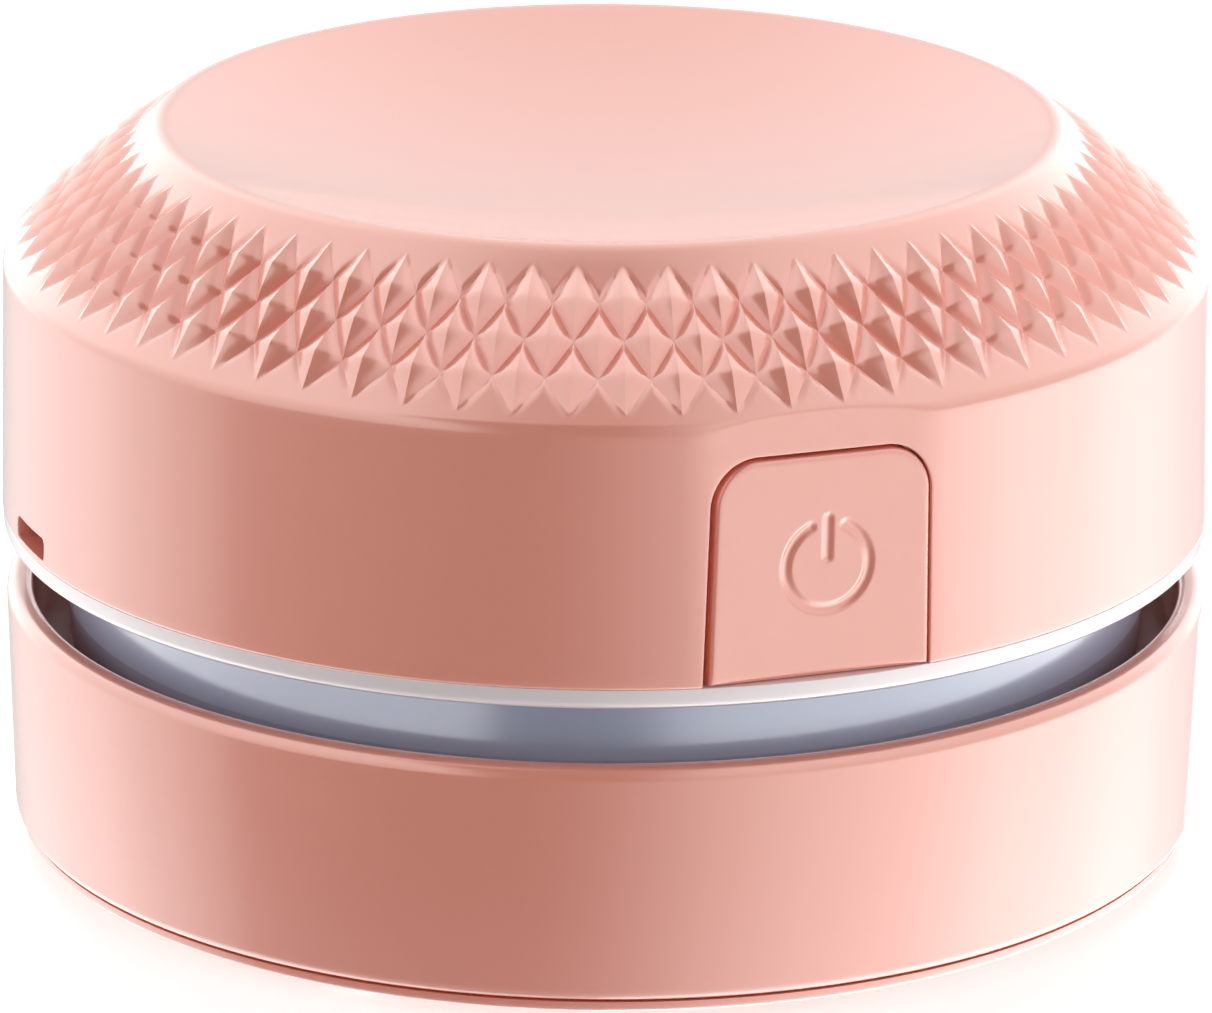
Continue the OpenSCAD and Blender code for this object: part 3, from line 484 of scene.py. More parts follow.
def openingEdge(border, half, low, high, corner, atFoot):
    # the opening's edge, one point per border point: straight sides and top keep their place, and what lies
    # past the start of a corner spreads over that corner's half arc. Returns side, height and outward normal.
    side, z = border[:, 0], border[:, 1]
    sign = np.sign(side + 1e-12)
    straight, highStart, lowStart = half - corner, high - corner, low + corner
    upper = shareBeyond(z, highStart, z.max()) * np.pi / 4
    lower = 0 * z if atFoot else shareBeyond(-z, -lowStart, -z.min()) * np.pi / 4
    a = upper - lower
    start = np.where(upper > 0, highStart, np.where(lower > 0, lowStart, z))
    onSide = [sign * (straight + corner * np.cos(a)), start + corner * np.sin(a), sign * np.cos(a), np.sin(a)]
    past = shareBeyond(np.abs(side), straight, np.abs(side).max())
    a = np.pi / 2 - past * np.pi / 4
    bent = np.where(past > 0, np.cos(a), 0)
    across = sign * (np.where(past > 0, straight, np.abs(side)) + corner * bent)
    onTop = [across, highStart + corner * np.sin(a), sign * bent, np.sin(a)]
    onLow = [across, lowStart - corner * np.sin(a), sign * bent, -np.sin(a)]
    lowRow = np.isclose(z, z.min()) & (not atFoot)
    return np.where(np.isclose(z, z.max()), onTop, np.where(lowRow, onLow, onSide)).T


def radiusAt(z):
    # radius of the outside at a height, on the foot's rounding and on the wall above it
    arcR = shell["footRound"]
    down = np.clip(footZ + arcR - z, -arcR, arcR)
    onArc = footArc[0, 0] + np.sqrt(np.maximum(arcR ** 2 - down ** 2, 0))
    return np.where(z < footArc[-1, 1], onArc, wallRadius(z))


def makeShell():
    # outside: the profile carried round, lifted square to the bevel by the knurl and cut to the flat in front
    rows, up, wallStart, wallEnd = shellProfile()
    columns = knurl["count"] * shell["columnsPerDiamond"]
    angle = np.arange(columns) / columns * turn
    lift = np.where(up[:, None] > 0, knurlLift(np.maximum(up, 0)[:, None], angle[None, :]), 0.0)
    r = rows[:, :1] + lift * math.sin(bevelAngle)
    z = rows[:, 1:] + lift * math.cos(bevelAngle)
    x, y = r * np.cos(angle), r * np.sin(angle)
    grid = np.stack([x, faceted(y, z), z], -1)
    numbers = np.arange(len(rows) * columns).reshape(len(rows), columns)
    points = [grid.reshape(-1, 3)]
    total = numbers.size
    faces = []
    keep = np.ones((len(rows) - 1, columns), bool)
    # faces between grooves that fall to the left are split along the other diagonal
    half = columns // knurl["count"] // 2
    rowHalf = np.floor((up[:-1] + up[1:]) / 2 / knurlStep - knurl["lowLand"] / knurlStep).astype(int)
    turned = (rowHalf[:, None] + np.arange(columns)[None, :] // half) % 2 == 1
    # the button's opening is open at the foot, the port's is closed all round
    portZ = footZ + port["rise"]
    lowZ, highZ = portZ - port["height"] / 2, portZ + port["height"] / 2
    below, over = port["marginLow"], port["marginHigh"]
    wallZ = rows[:wallEnd, 1]
    openings = [
        {"middle": columns * 3 // 4, "half": button["width"] / 2 + button["gap"], "margin": button["margin"],
         "low": 0, "top": wallEnd - 1, "lowZ": footZ,
         "highZ": footZ + button["foot"] + button["height"] + button["gap"],
         "corner": button["corner"] + button["gap"], "atFoot": True,
         "inWide": button["inWide"], "inRows": button["inRows"]},
        {"middle": columns // 2, "half": port["width"] / 2, "margin": port["shift"] + port["margin"],
         "low": np.searchsorted(wallZ, lowZ - below) - 1, "top": np.searchsorted(wallZ, highZ + over),
         "lowZ": lowZ, "highZ": highZ, "corner": port["corner"], "atFoot": False,
         "inWide": port["inWide"], "inRows": port["inRows"]}]
    for o in openings:
        reach = round((o["half"] + o["margin"]) / (turn * shell["bodyRadius"] / columns))
        left, right = o["middle"] - reach, o["middle"] + reach
        keep[o["low"]:o["top"], left:right] = False
        loop = blockLoop(o["low"], o["top"], left, right, not o["atFoot"])
        borderPoints = grid[loop[:, 0], loop[:, 1]]
        across = borderPoints[:, 0] if o["atFoot"] else -borderPoints[:, 1]
        border = np.stack([across, rows[loop[:, 0], 1]], 1)
        edge = openingEdge(border, o["half"], o["lowZ"], o["highZ"], o["corner"], o["atFoot"])
        edge[:, 0] = slanted(edge[:, 0], edge[:, 1] - footZ) if o["atFoot"] else edge[:, 0] + port["shift"]
        onFoot = (loop[:, 0] < wallStart) & o["atFoot"]
        f = shell["edgeRound"]

        def outside(side, height, radius=None):
            # points on the outside or on a wall of the given radius, at the button's flat or at the port
            if radius is None:
                radius = np.where(onFoot, rows[loop[:, 0], 0], radiusAt(height))
            deep = -np.sqrt(np.maximum(radius ** 2 - side ** 2, 0))
            if o["atFoot"]:
                return np.stack([side, faceted(deep, height), height], 1)
            return np.stack([deep, -side, height], 1)

        # rings from the border to the start of the edge's rounding, round it, and in to the inner wall
        start = edge[:, :2] + edge[:, 2:] * f
        rings = [borderPoints]
        for share in shell["borderShares"]:
            rings.append(outside(*(start + (border - start) * share).T))
        axis = 1 if o["atFoot"] else 0
        goal = outside(*edge[:, :2].T, np.full(len(edge), innerR))
        room = (goal - outside(*edge[:, :2].T))[:, axis]
        fall = np.minimum(f, np.maximum(room, 0) / 2)
        for a in rightAngleShares(shell["edgeShares"]):
            ring = outside(*(edge[:, :2] + edge[:, 2:] * (f * (1 - math.sin(a)))).T)
            ring[:, axis] += fall * (1 - math.cos(a))
            rings.append(ring)
        rings.append(goal)
        points.append(np.vstack(rings))
        faces.append(gridFaces(len(rings), len(loop))[:, ::-1] + total)
        number = total + np.arange(len(rings) * len(loop)).reshape(len(rings), len(loop))
        o["inner"], o["first"], o["last"] = number[-1], number[:, 0], number[:, -1]
        total += number.size
        o["left"], o["right"] = left, right
    quads = keptFaces(numbers, keep)[:, [0, 3, 2, 1]]
    quads = np.where(turned[keep][:, None], np.roll(quads, 1, axis=1), quads)
    onKnurl = up[np.nonzero(keep)[0]] > 0
    faces += [quads[~onKnurl], quads[onKnurl][:, [0, 1, 2]], quads[onKnurl][:, [0, 2, 3]]]
    # middle of the dish
    points.append(np.array([[0, 0, dishHeight(0.0)]]))
    faces.append(np.stack([numbers[-1], np.roll(numbers[-1], -1), np.full(columns, total)], 1))
    total += 1
    # inside: few rows and columns, tied to the outside along the foot and the openings
    coarse = shell["insideColumns"]
    tan = math.tan(bevelAngle)
    bevelInnerZ = creaseZ - shell["wall"] * math.cos(bevelAngle) + (
        creaseR - shell["wall"] * math.sin(bevelAngle) - innerR) * tan
    inside = [[innerR, footZ + rise] for rise in shell["insideRows"]] + [[innerR, bevelInnerZ]]
    # where the inner bevel meets the underside of the dish, closed in on by repetition
    meetR = innerR
    for _ in range(40):
        meetR = innerR - (dishHeight(meetR, shell["wall"]) - bevelInnerZ) / tan
    inside += [[meetR * share, dishHeight(meetR * share, shell["wall"])]
               for share in (1, *shell["insideDish"])]
    inNumbers = np.arange(len(inside) * coarse).reshape(-1, coarse) + total
    points.append(carryRound(np.array(inside), np.arange(coarse) * turn / coarse).reshape(-1, 3))
    total += inNumbers.size
    inKeep = np.ones((len(inside) - 1, coarse), bool)
    for o in openings:
        middle = o["middle"] * coarse // columns
        o["inLeft"], o["inRight"] = middle - o["inWide"], middle + o["inWide"]
        inKeep[:o["inRows"], o["inLeft"]:o["inRight"]] = False
        loop = blockLoop(0, o["inRows"], o["inLeft"], o["inRight"], not o["atFoot"])
        faces.append(stitch(o["inner"], inNumbers[loop[:, 0], loop[:, 1]])[:, ::-1])
    faces.append(keptFaces(inNumbers, inKeep))
    points.append(np.array([[0, 0, dishHeight(0.0, shell["wall"])]]))
    faces.append(np.stack([np.roll(inNumbers[-1], -1), inNumbers[-1], np.full(coarse, total)], 1))
    # foot: from the opening's right edge round the back to its left edge, outside against inside
    b = openings[0]
    outer = np.concatenate([b["last"][::-1], numbers[0, b["right"]:], numbers[0, :b["left"] + 1], b["first"]])
    innerLine = np.concatenate([inNumbers[0, b["inRight"]:], inNumbers[0, :b["inLeft"] + 1]])
    faces.append(stitch(outer, innerLine)[:, ::-1])
    makePiece("grip_shell", np.vstack(points), faces, "unit", "pink_plastic", pinkPlastic, ("top_shell",),
              shell["sharp"])


# Power button

def flatToWorld(across, up, deep):
    # from the flat's own frame (across, up the flat, into the unit) to the world
    lean = math.atan(facetLean)
    y = -facetY + deep * math.cos(lean) + up * math.sin(lean)
    z = footZ - deep * math.sin(lean) + up * math.cos(lean)
    return np.stack([slanted(across, up), y, z], -1)


def symbolDepth(across, up):
    # round-ended groove: how near each point lies to the ring's arc or to the bar, then a smooth step from
    # full depth at the line's middle to none past its edge
    s = symbol
    half = math.radians(s["gapAngle"] / 2)
    away = np.hypot(across, up)
    inGap = np.abs(np.arctan2(across, up)) < half
    toEnd = np.hypot(np.abs(across) - s["radius"] * math.sin(half), up - s["radius"] * math.cos(half))
    toRing = np.where(inGap, toEnd, np.abs(away - s["radius"]))
    top = s["radius"] + s["barRise"] - s["width"] / 2
    toBar = np.hypot(across, up - np.clip(up, top + s["width"] - s["barLength"], top))
    share = np.clip((np.minimum(toRing, toBar) - s["width"] / 2 + s["edge"] / 2) / s["edge"], 0, 1)
    return s["depth"] * (1 - share * share * (3 - 2 * share))


def makeButton():
    # front face as a fine grid whose upper corners are bent to arcs, then rings back along the side
    b = button
    half = b["width"] / 2 - b["round"]
    low, high = b["foot"] + b["round"], b["foot"] + b["height"] - b["round"]
    corner = b["corner"] - b["round"]
    middle = b["foot"] + b["height"] / 2
    reach = symbol["radius"] + symbol["width"] + symbol["edge"]
    sides, fine = b["sideLines"], b["symbolLines"]
    xs = np.concatenate([np.linspace(-half, -reach, sides)[:-1], np.linspace(-reach, reach, fine),
                         np.linspace(reach, half, sides)[1:]])
    us = np.concatenate([np.linspace(low, middle - reach, b["lowLines"])[:-1],
                         np.linspace(middle - reach, middle + reach, fine),
                         np.linspace(middle + reach, high, b["highLines"])[1:]])
    x, u = np.meshgrid(xs, us)
    a = np.clip((np.abs(x) - (half - corner)) / corner, 0, 1)
    c = np.clip((u - (high - corner)) / corner, 0, 1)
    size = np.maximum(a, c) / np.maximum(np.hypot(a, c), 1e-9)
    inCorner = (a > 0) & (c > 0)
    x = np.where(inCorner, np.sign(x) * (half - corner + corner * a * size), x)
    u = np.where(inCorner, high - corner + corner * c * size, u)
    front = flatToWorld(x + b["shift"], u, symbolDepth(x - symbol["shift"], u - middle)).reshape(-1, 3)
    loop = borderOf(np.arange(x.size).reshape(x.shape))
    # outward direction of each edge point: across on the sides, down at the foot, both in the corners
    lx, lu = x.reshape(-1)[loop], u.reshape(-1)[loop]
    bend = np.clip((lu - (high - corner)) / corner, 0, 1)
    inX = np.clip((np.abs(lx) - (half - corner)) / corner, 0, 1)
    outX = np.sign(lx) * np.where(bend > 0, inX, np.isclose(np.abs(lx), half))
    outU = np.where(bend > 0, bend, np.where(np.isclose(lu, low), -1.0, 0.0))
    # how far out, how far down and how deep each ring lies: round the edge, then back to the lip
    depth, wide = b["frontDepth"], b["round"] + b["lip"]
    rings = [(b["round"] * math.sin(t), b["round"] * math.sin(t), b["round"] * (1 - math.cos(t)))
             for t in rightAngleShares(np.arange(1, b["roundSteps"] + 1) / b["roundSteps"])]
    back = depth + b["lipDepth"]
    rings += [(b["round"], b["round"], depth), (wide, b["round"], depth), (wide, b["round"], back)]
    n = len(loop)
    points, faces = [front], [gridFaces(*x.shape)]
    before = loop
    for ringNumber, (out, down, deep) in enumerate(rings):
        points.append(flatToWorld(lx + b["shift"] + outX * out, lu + outU * np.where(outU < 0, down, out),
                                  np.full(n, deep)))
        now = len(front) + ringNumber * n + np.arange(n)
        faces.append(np.stack([before, np.roll(before, -1), np.roll(now, -1), now], 1))
        before = now
    points.append(flatToWorld(np.zeros(1), np.full(1, middle), np.full(1, back)))
    faces.append(np.stack([before, np.roll(before, -1), np.full(n, len(front) + len(rings) * n)], 1))
    # stem: a round pin whose tip is a little narrower
    columns, sink = b["stemColumns"], b["stemSink"]
    around = np.arange(columns) / columns * turn
    deeps = back + np.array([-sink, -sink, b["stemLength"] - sink, b["stemLength"], b["stemLength"]])[:, None]
    radii = b["stemRadius"] * np.array([0, 1, 1, b["stemTip"], 0])[:, None]
    stem = flatToWorld(radii * np.sin(around), middle + radii * np.cos(around), deeps + 0 * around)
    stem = (stem.reshape(-1, 3), [gridFaces(len(radii), columns, closed=True)])
    makePiece("power_button_cap", *gather([(np.vstack(points), faces), stem]), "button", "pink_plastic",
              pinkPlastic, ("power_button",))


# Base: cup, dust bin and bottom plate

cup = {"rimRadius": 42.3, "wall": 1.9, "draft": 0.45, "foot": 1.8, "rim": 18.5, "footRound": 0.8,
       "rimRound": 0.9, "innerRound": 0.6, "ledge": 1.5, "ledgeLow": 4.2, "ledgeHigh": 5.6, "ledgeRound": 0.2}
bin_ = {"inlet": 8.0, "inletWall": 1.4, "inletTop": 12.0, "floor": 38.6, "rim": 40.1, "rimTop": 7.0,
        "collarInner": 33.6, "collarOuter": 35.0, "collarTop": 17.2, "round": 0.4, "small": 0.3,
        "fillet": 1.2}
plate = {"radius": 41.4, "low": 1.0, "edge": 0.7, "edgeRound": 0.3, "spigot": 40.1, "top": 4.0,
         "recess": 32.8, "recessHeight": 2.4, "recessRound": 0.4, "inlet": 8.0, "flare": 11.0,
         "flareRound": 1.0, "flatRows": (16, 22), "columns": 720,
         "channelInner": 27.9, "channelOuter": 30.1, "channelDepth": 1.0, "channelTurn": 72, "channels": 4,
         # wells of the screws, and their blocks' margins in millimetres along and in radians across
         "screwRing": 36.95, "screwAngles": (45, 135, 225, 315), "wellRadius": 2.1, "wellDepth": 1.3,
         "wellEdge": 0.2, "wellMargin": 0.35, "blockMargin": 0.014, "wellRow": 0.4,
         "mouthShares": (1, 0.5, 0.15), "edgeShares": (0, 0.4, 0.75, 1)}
pads = {"ring": 35.8, "angles": (0, 90, 180, 270), "radius": 2.4, "top": 1.4, "round": 0.5}
brush = {"low": 0.2, "pitch": 1.55, "rows": 2, "hairs": 16, "hair": 0.11, "spread": 0.5, "fan": 0.45,
         "rowPitch": 0.95, "stagger": 0.4, "narrow": 0.7, "stray": 0.06, "uneven": 0.07,
         "stripLines": 61, "stripShare": 0.998, "stripProud": 0.15,
         # share of the length and of the hair's width, root to tip, and how the hair bows
         "levels": ((0, 1.0), (0.5, 0.95), (1, 0.6)), "bow": 1.5}


def makeCup():
    # wall from foot to rim, revolved, with the ledge that the dust bin's rim rests on
    c = cup
    inner = c["rimRadius"] - c["wall"]
    outline = roundOutline([
        (inner, c["foot"], 0), (c["rimRadius"] - c["draft"], c["foot"], c["footRound"]),
        (c["rimRadius"], c["rim"], c["rimRound"]), (inner, c["rim"], c["innerRound"]),
        (inner, c["ledgeHigh"], c["ledgeRound"]), (inner - c["ledge"], c["ledgeHigh"], c["ledgeRound"]),
        (inner - c["ledge"], c["ledgeLow"], c["ledgeRound"]), (inner, c["ledgeLow"], 0)], 8)
    makePiece("base_wall", *revolve(outline, 360), "base", "pink_plastic", pinkPlastic, ("base_cup",))


def makeBin():
    # floor, collar round the filter and tube of the inlet, revolved
    b = bin_
    floor, thick = cup["ledgeLow"], cup["ledgeHigh"]
    tube = b["inlet"] + b["inletWall"]
    outline = roundOutline([
        (b["inlet"], floor, b["small"]), (b["floor"], floor, b["small"]), (b["floor"], thick, 0),
        (b["rim"], thick, b["small"]), (b["rim"], b["rimTop"], b["round"]),
        (b["collarOuter"], b["rimTop"], b["small"]),
        (b["collarOuter"], b["collarTop"], b["round"]), (b["collarInner"], b["collarTop"], b["round"]),
        (b["collarInner"], thick, b["fillet"]), (tube, thick, b["fillet"]),
        (tube, b["inletTop"], b["round"]), (b["inlet"], b["inletTop"], b["round"])], 5)
    makePiece("dust_tray", *revolve(outline, 300), "base", "pink_plastic", pinkPlastic, ("dust_bin",))


def wellRings(border, centre):
    # rings from a block's border to a round well and in to its middle: each border point keeps its
    # direction from the centre
    low, radius, edge = plate["low"], plate["wellRadius"], plate["wellEdge"]
    toBorder = border - centre
    direction = toBorder / np.linalg.norm(toBorder, axis=1)[:, None]
    mouth = direction * (radius + edge)
    rings = [(mouth + (toBorder - mouth) * share, low) for share in plate["mouthShares"]]
    rings += [(direction * (radius + edge * (1 - math.sin(t))), low + edge * (1 - math.cos(t)))
              for t in rightAngleShares(plate["edgeShares"])]
    rings += [(direction * out, low + plate["wellDepth"]) for out in (radius, 0)]
    return np.array([np.column_stack([centre + place, np.full(len(border), z)]) for place, z in rings])


def makePlate():
    # underside as a polar grid: its rows follow the outline, and rows and columns double where the
    # channels of the bristles step up. The screws' wells take the place of blocks of the grid.
    p = plate
    well, r, margin = p["wellRadius"] + p["wellEdge"], p["screwRing"], p["wellMargin"]
    near = well * p["wellRow"]
    blockRows = [r - well - margin, r - near, r + near, r + well + margin]
    h, low, edge = p["recessHeight"], p["low"], p["low"] + p["edge"]
    recess, step = [p["recess"], h], [p["recess"], low]
    flareArc = roundCorner([p["inlet"], p["top"]], [p["flare"], h], recess, p["flareRound"], 5)
    cornerArc = roundCorner([p["flare"], h], recess, step, p["recessRound"], 4)
    stepArc = roundCorner(recess, step, [p["radius"], low], p["recessRound"], 4)
    edgeArc = roundCorner(step, [p["radius"], low], [p["radius"], edge], p["edgeRound"], 4)
    flatRows = [[radius, h] for radius in p["flatRows"]]
    channel = np.repeat([[p["channelInner"], h], [p["channelOuter"], h]], 2, axis=0)
    before = [[p["inlet"], p["top"]], *flareArc, *flatRows]
    after = [[p["radius"], edge], [p["spigot"], edge], [p["spigot"], p["top"]], [p["inlet"], p["top"]]]
    rows = np.array([*before, *channel, *cornerArc, *stepArc, *[[b, low] for b in blockRows], *edgeArc,
                     *after])
    channelRows = (len(before) + 1, len(before) + 2)
    blockStart = len(before) + len(channel) + len(cornerArc) + len(stepArc)
    turns = np.arange(p["columns"]) * turn / p["columns"]
    half = math.radians(p["channelTurn"] / 2)
    quarter = turn / p["channels"]
    # an edge column stands twice, and the one on the channel's side counts as inside it
    away = turns % quarter - quarter / 2
    onEdge = np.abs(np.abs(away) - half) < 1e-6
    times = 1 + onEdge
    angles, away, onEdge = np.repeat(turns, times), np.repeat(away, times), np.repeat(onEdge, times)
    second = np.concatenate([[False], angles[1:] == angles[:-1]])
    inside = np.where(onEdge, second == (away < 0), np.abs(away) < half)
    columns = len(angles)
    grid = carryRound(rows, angles)
    for row in channelRows:
        grid[row, inside, 2] += p["channelDepth"]
    number = np.arange(len(rows) * columns).reshape(-1, columns)
    keep = np.ones((len(rows) - 1, columns), bool)
    points, faces, total = [grid.reshape(-1, 3)], [], number.size
    reach = math.asin(well / r) + p["blockMargin"]
    top = blockStart + len(blockRows) - 1
    for screwAngle in np.radians(p["screwAngles"]):
        near = np.nonzero(np.abs(angles - screwAngle) < reach)[0]
        keep[blockStart:top, near[0]:near[-1]] = False
        loop = blockLoop(blockStart, top, near[0], near[-1], True)
        centre = r * np.array([math.cos(screwAngle), math.sin(screwAngle)])
        rings = wellRings(grid[loop[:, 0], loop[:, 1], :2], centre)
        points.append(rings.reshape(-1, 3))
        faces.append(gridFaces(len(rings), len(loop)) + total)
        total += len(rings) * len(loop)
    faces.append(keptFaces(number, keep))
    makePiece("bottom_cover", np.vstack(points), faces, "base", "pink_plastic", pinkPlastic,
              ("bottom_plate",))


def makePads():
    # each pad is a short cylinder with a rounded foot, revolved round its own axis
    p = pads
    outline = roundOutline([(0, 0, 0), (p["radius"], 0, p["round"]), (p["radius"], p["top"], 0),
                            (0, p["top"], 0)])
    parts = [revolve(outline, 48, (p["ring"] * math.cos(angle), p["ring"] * math.sin(angle)))
             for angle in np.radians(p["angles"])]
    makePiece("rubber_feet", *gather(parts), "base", "rubber", softRubber, ("foot_pads",))


def makeBrush():
    # strip in each channel, and tufts of four-sided hairs that fan out towards the table
    p, b = plate, brush
    random = np.random.default_rng(4)
    middle = (p["channelInner"] + p["channelOuter"]) / 2
    root = p["recessHeight"]
    low, top = root - b["stripProud"], root + p["channelDepth"]
    half = math.radians(p["channelTurn"] / 2)
    perArc = int(2 * half * middle / b["pitch"])
    lines = b["stripLines"]
    section = np.array([[p["channelInner"], low], [p["channelOuter"], low], [p["channelOuter"], top],
                        [p["channelInner"], top]])
    caps = np.array([[0, 1, 2, 3], [3, 2, 1, 0]])
    parts, tufts = [], []
    for i in range(p["channels"]):
        centre = (i + 0.5) * turn / p["channels"]
        a = centre + np.linspace(-half, half, lines) * b["stripShare"]
        strip = carryRound(section, a).transpose(1, 0, 2).reshape(-1, 3)
        parts.append((strip, [gridFaces(lines, 4, closed=True)[:, ::-1], caps + [[0], [4 * lines - 4]]]))
        along = centre + (np.arange(perArc) + 0.5 - perArc / 2) * b["pitch"] / middle
        for row in range(b["rows"]):
            out = middle + (row - (b["rows"] - 1) / 2) * b["rowPitch"]
            stagger = (row % 2) * b["stagger"] * b["pitch"] / middle
            tufts.append(np.stack([np.full(perArc, out), along + stagger], 1))
    tufts = np.repeat(np.vstack(tufts), b["hairs"], axis=0)
    count = len(tufts)
    spin = random.uniform(0, turn, count)
    away = np.sqrt(random.uniform(0, 1, count))
    baseR = tufts[:, 0] + b["spread"] * b["narrow"] * away * np.cos(spin)
    baseA = tufts[:, 1] + b["spread"] * away * np.sin(spin) / middle
    tipR = baseR + b["fan"] * away * np.cos(spin) + random.normal(0, b["stray"], count)
    tipA = baseA + b["fan"] * away * np.sin(spin) / middle + random.normal(0, b["stray"], count) / middle
    tipZ = b["low"] + np.abs(random.normal(0, b["uneven"], count))
    tipR = np.clip(tipR, p["channelInner"], p["channelOuter"])
    side = np.arange(4) * turn / 4
    levels = []
    for share, width in b["levels"]:
        bow = share ** b["bow"]
        r = (baseR + (tipR - baseR) * bow)[:, None]
        a = (baseA + (tipA - baseA) * bow)[:, None]
        z = (root + (tipZ - root) * share)[:, None]
        w = b["hair"] * width
        levels.append(np.stack([r * np.cos(a) + w * np.cos(side), r * np.sin(a) + w * np.sin(side),
                                z + 0 * side], -1))
    perHair = 4 * len(levels)
    start = np.arange(count)[:, None, None] * perHair
    body = (start + gridFaces(len(levels), 4, closed=True)[:, ::-1]).reshape(-1, 4)
    caps = (start + caps + [[0], [perHair - 4]]).reshape(-1, 4)
    parts.append((np.stack(levels, 1).reshape(-1, 3), [body, caps]))
    makePiece("brush_tufts", *gather(parts), "base", "bristle", bristleHair, ("bristle_strips",))


# White flange and skirt: smooth rings over the chassis's own

ring = {"radius": 42.4, "inner": 39.5, "low": 22.7, "high": 24.1, "round": 0.65, "topRound": 0.05,
        "skirtInner": 35.3, "skirtOuter": 37.2, "skirtLow": 7.4, "skirtRound": 0.4, "draft": 0.8,
        "draftLow": 17.6, "cover": 0.03}


def makeRing():
    # two revolved sections, a hair larger than the solids that they cover. The skirt's visible part has a
    # draft: it is widest where it leaves the cup and narrows towards the flange.
    r, c = ring, ring["cover"]
    low, high, edge = r["low"] - c, r["high"] + c, r["radius"] + c
    flange = roundOutline([(r["inner"], low, 0.2), (edge, low, r["round"]), (edge, high, r["topRound"]),
                           (r["inner"], high, 0)], 8)
    foot, top, inner, outer = r["skirtLow"] - c, r["low"] + c, r["skirtInner"] - c, r["skirtOuter"] + c
    skirt = roundOutline([(inner, foot, r["skirtRound"]), (outer, foot, r["skirtRound"]),
                          (outer + r["draft"], r["draftLow"], 0.3), (outer, top, 0), (inner, top, 0)], 6)
    makePiece("flange_ring", *revolve(flange, 360), "unit", "white_plastic", whitePlastic)
    # the skirt is white plastic drawn with painted shade and a painted bluish reflection in its colour
    makePiece("skirt_sleeve", *revolve(skirt, 360), "unit", "white_plastic", skirtPaintedShade)


# Filter: a pleated sheet inside its frame

filter_ = {"radius": 30.3, "low": 16.5, "high": 20.0, "thick": 0.7, "pleats": 20, "linesPerFold": 6,
           "lines": 41, "reach": 0.9995, "rounding": 0.97}


def makeFilter():
    # folds along Y: height follows a rounded triangle wave of X, cut to a disc
    f = filter_
    folds = 2 * f["pleats"]
    x = (np.linspace(-1, 1, folds * f["linesPerFold"] + 1) * f["radius"] * f["reach"])[:, None]
    wave = np.arcsin(np.cos(x / f["radius"] * f["pleats"] * np.pi) * f["rounding"]) / math.asin(f["rounding"])
    half = (f["high"] - f["low"]) / 2
    middle = (f["high"] + f["low"]) / 2
    y = np.sqrt(np.maximum(f["radius"] ** 2 - x ** 2, 0.01)) * np.linspace(-1, 1, f["lines"])
    z = middle - wave * (half - f["thick"] / 2) - f["thick"] / 2
    low = np.stack([x + 0 * y, y, z + 0 * y], -1)
    high = low + [0, 0, f["thick"]]
    rim = borderOf(np.arange(y.size).reshape(y.shape))
    sheet = gridFaces(*y.shape)
    faces = [sheet, sheet[:, ::-1] + y.size,
             np.stack([np.roll(rim, -1), rim, rim + y.size, np.roll(rim, -1) + y.size], 1)]
    points = np.vstack([low.reshape(-1, 3), high.reshape(-1, 3)])
    makePiece("pleated_filter", points, faces, "filter", "filter_cloth", filterCloth, ("filter_media",))


# Further materials

def filterPaper():
    # fibres drawn out along the folds
    f = Finish("filterCloth", Roughness=0.9)
    fibres = f.node("ShaderNodeMapping", Vector=f.place, Scale=(1, 0.25, 1)).output()
    strand = f.node("ShaderNodeTexNoise", Vector=fibres, Scale=2600, Detail=5, Roughness=0.7).output("Fac")
    f.set(Base_Color=mixColour(f, strand, (0.86, 0.86, 0.84), (0.66, 0.66, 0.64)),
          Normal=bump(f, strand, 0.00006))
    return f.material


def bristleFinish():
    # dark hair in two shades
    f = Finish("bristleHair", Roughness=0.5)
    f.set(Base_Color=mixColour(f, noise(f, 1500, 2), (0.05, 0.05, 0.055), (0.14, 0.14, 0.15)),
          Normal=bump(f, noise(f, 4000, 2), 0.00001))
    return f.material


def cellWrap():
    # shrink film on the cell's side, bare steel past its ends
    f = Finish("cellWrap")
    ends = f.node("ShaderNodeSeparateXYZ", Vector=f.place).output("X").size().above(wrapReach)
    film = mixColour(f, noise(f, 200, 2), (0.03, 0.16, 0.42), (0.02, 0.13, 0.36))
    f.set(Base_Color=mixColour(f, ends, film, (0.68, 0.68, 0.7)), Metallic=ends,
          Roughness=0.22 + noise(f, 400) * 0.12, Normal=bump(f, noise(f, 260, 1), 0.00002))
    return f.material


def boardFinish():
    # green solder mask with copper traces showing through, and black parts above the board's face
    f = Finish("circuitBoard")
    traces = f.node("ShaderNodeTexVoronoi", {"distance": "CHEBYCHEV"}, Vector=f.place, Scale=420)
    line = traces.output("Distance").above(0.42)
    green = mixColour(f, line, (0.01, 0.13, 0.05), (0.03, 0.24, 0.09))
    above = f.node("ShaderNodeSeparateXYZ", Vector=f.place).output("Z").above(boardTop)
    f.set(Base_Color=mixColour(f, above, green, (0.03, 0.03, 0.032)), Roughness=0.3 + above * 0.25,
          Normal=bump(f, line, 0.00002))
    return f.material


# half the length of the cell's film, and the height of the board's upper face, both in metres
wrapReach = 0.0207
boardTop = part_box("circuit_board")[0].z + 0.00105
filterCloth = filterPaper()
bristleHair = bristleFinish()

print("camera")
addCamera()
print("motor unit")
makeShell()
makeButton()
makeRing()
print("base")
makeCup()
makeBin()
makePlate()
makePads()
makeBrush()
print("filter")
makeFilter()


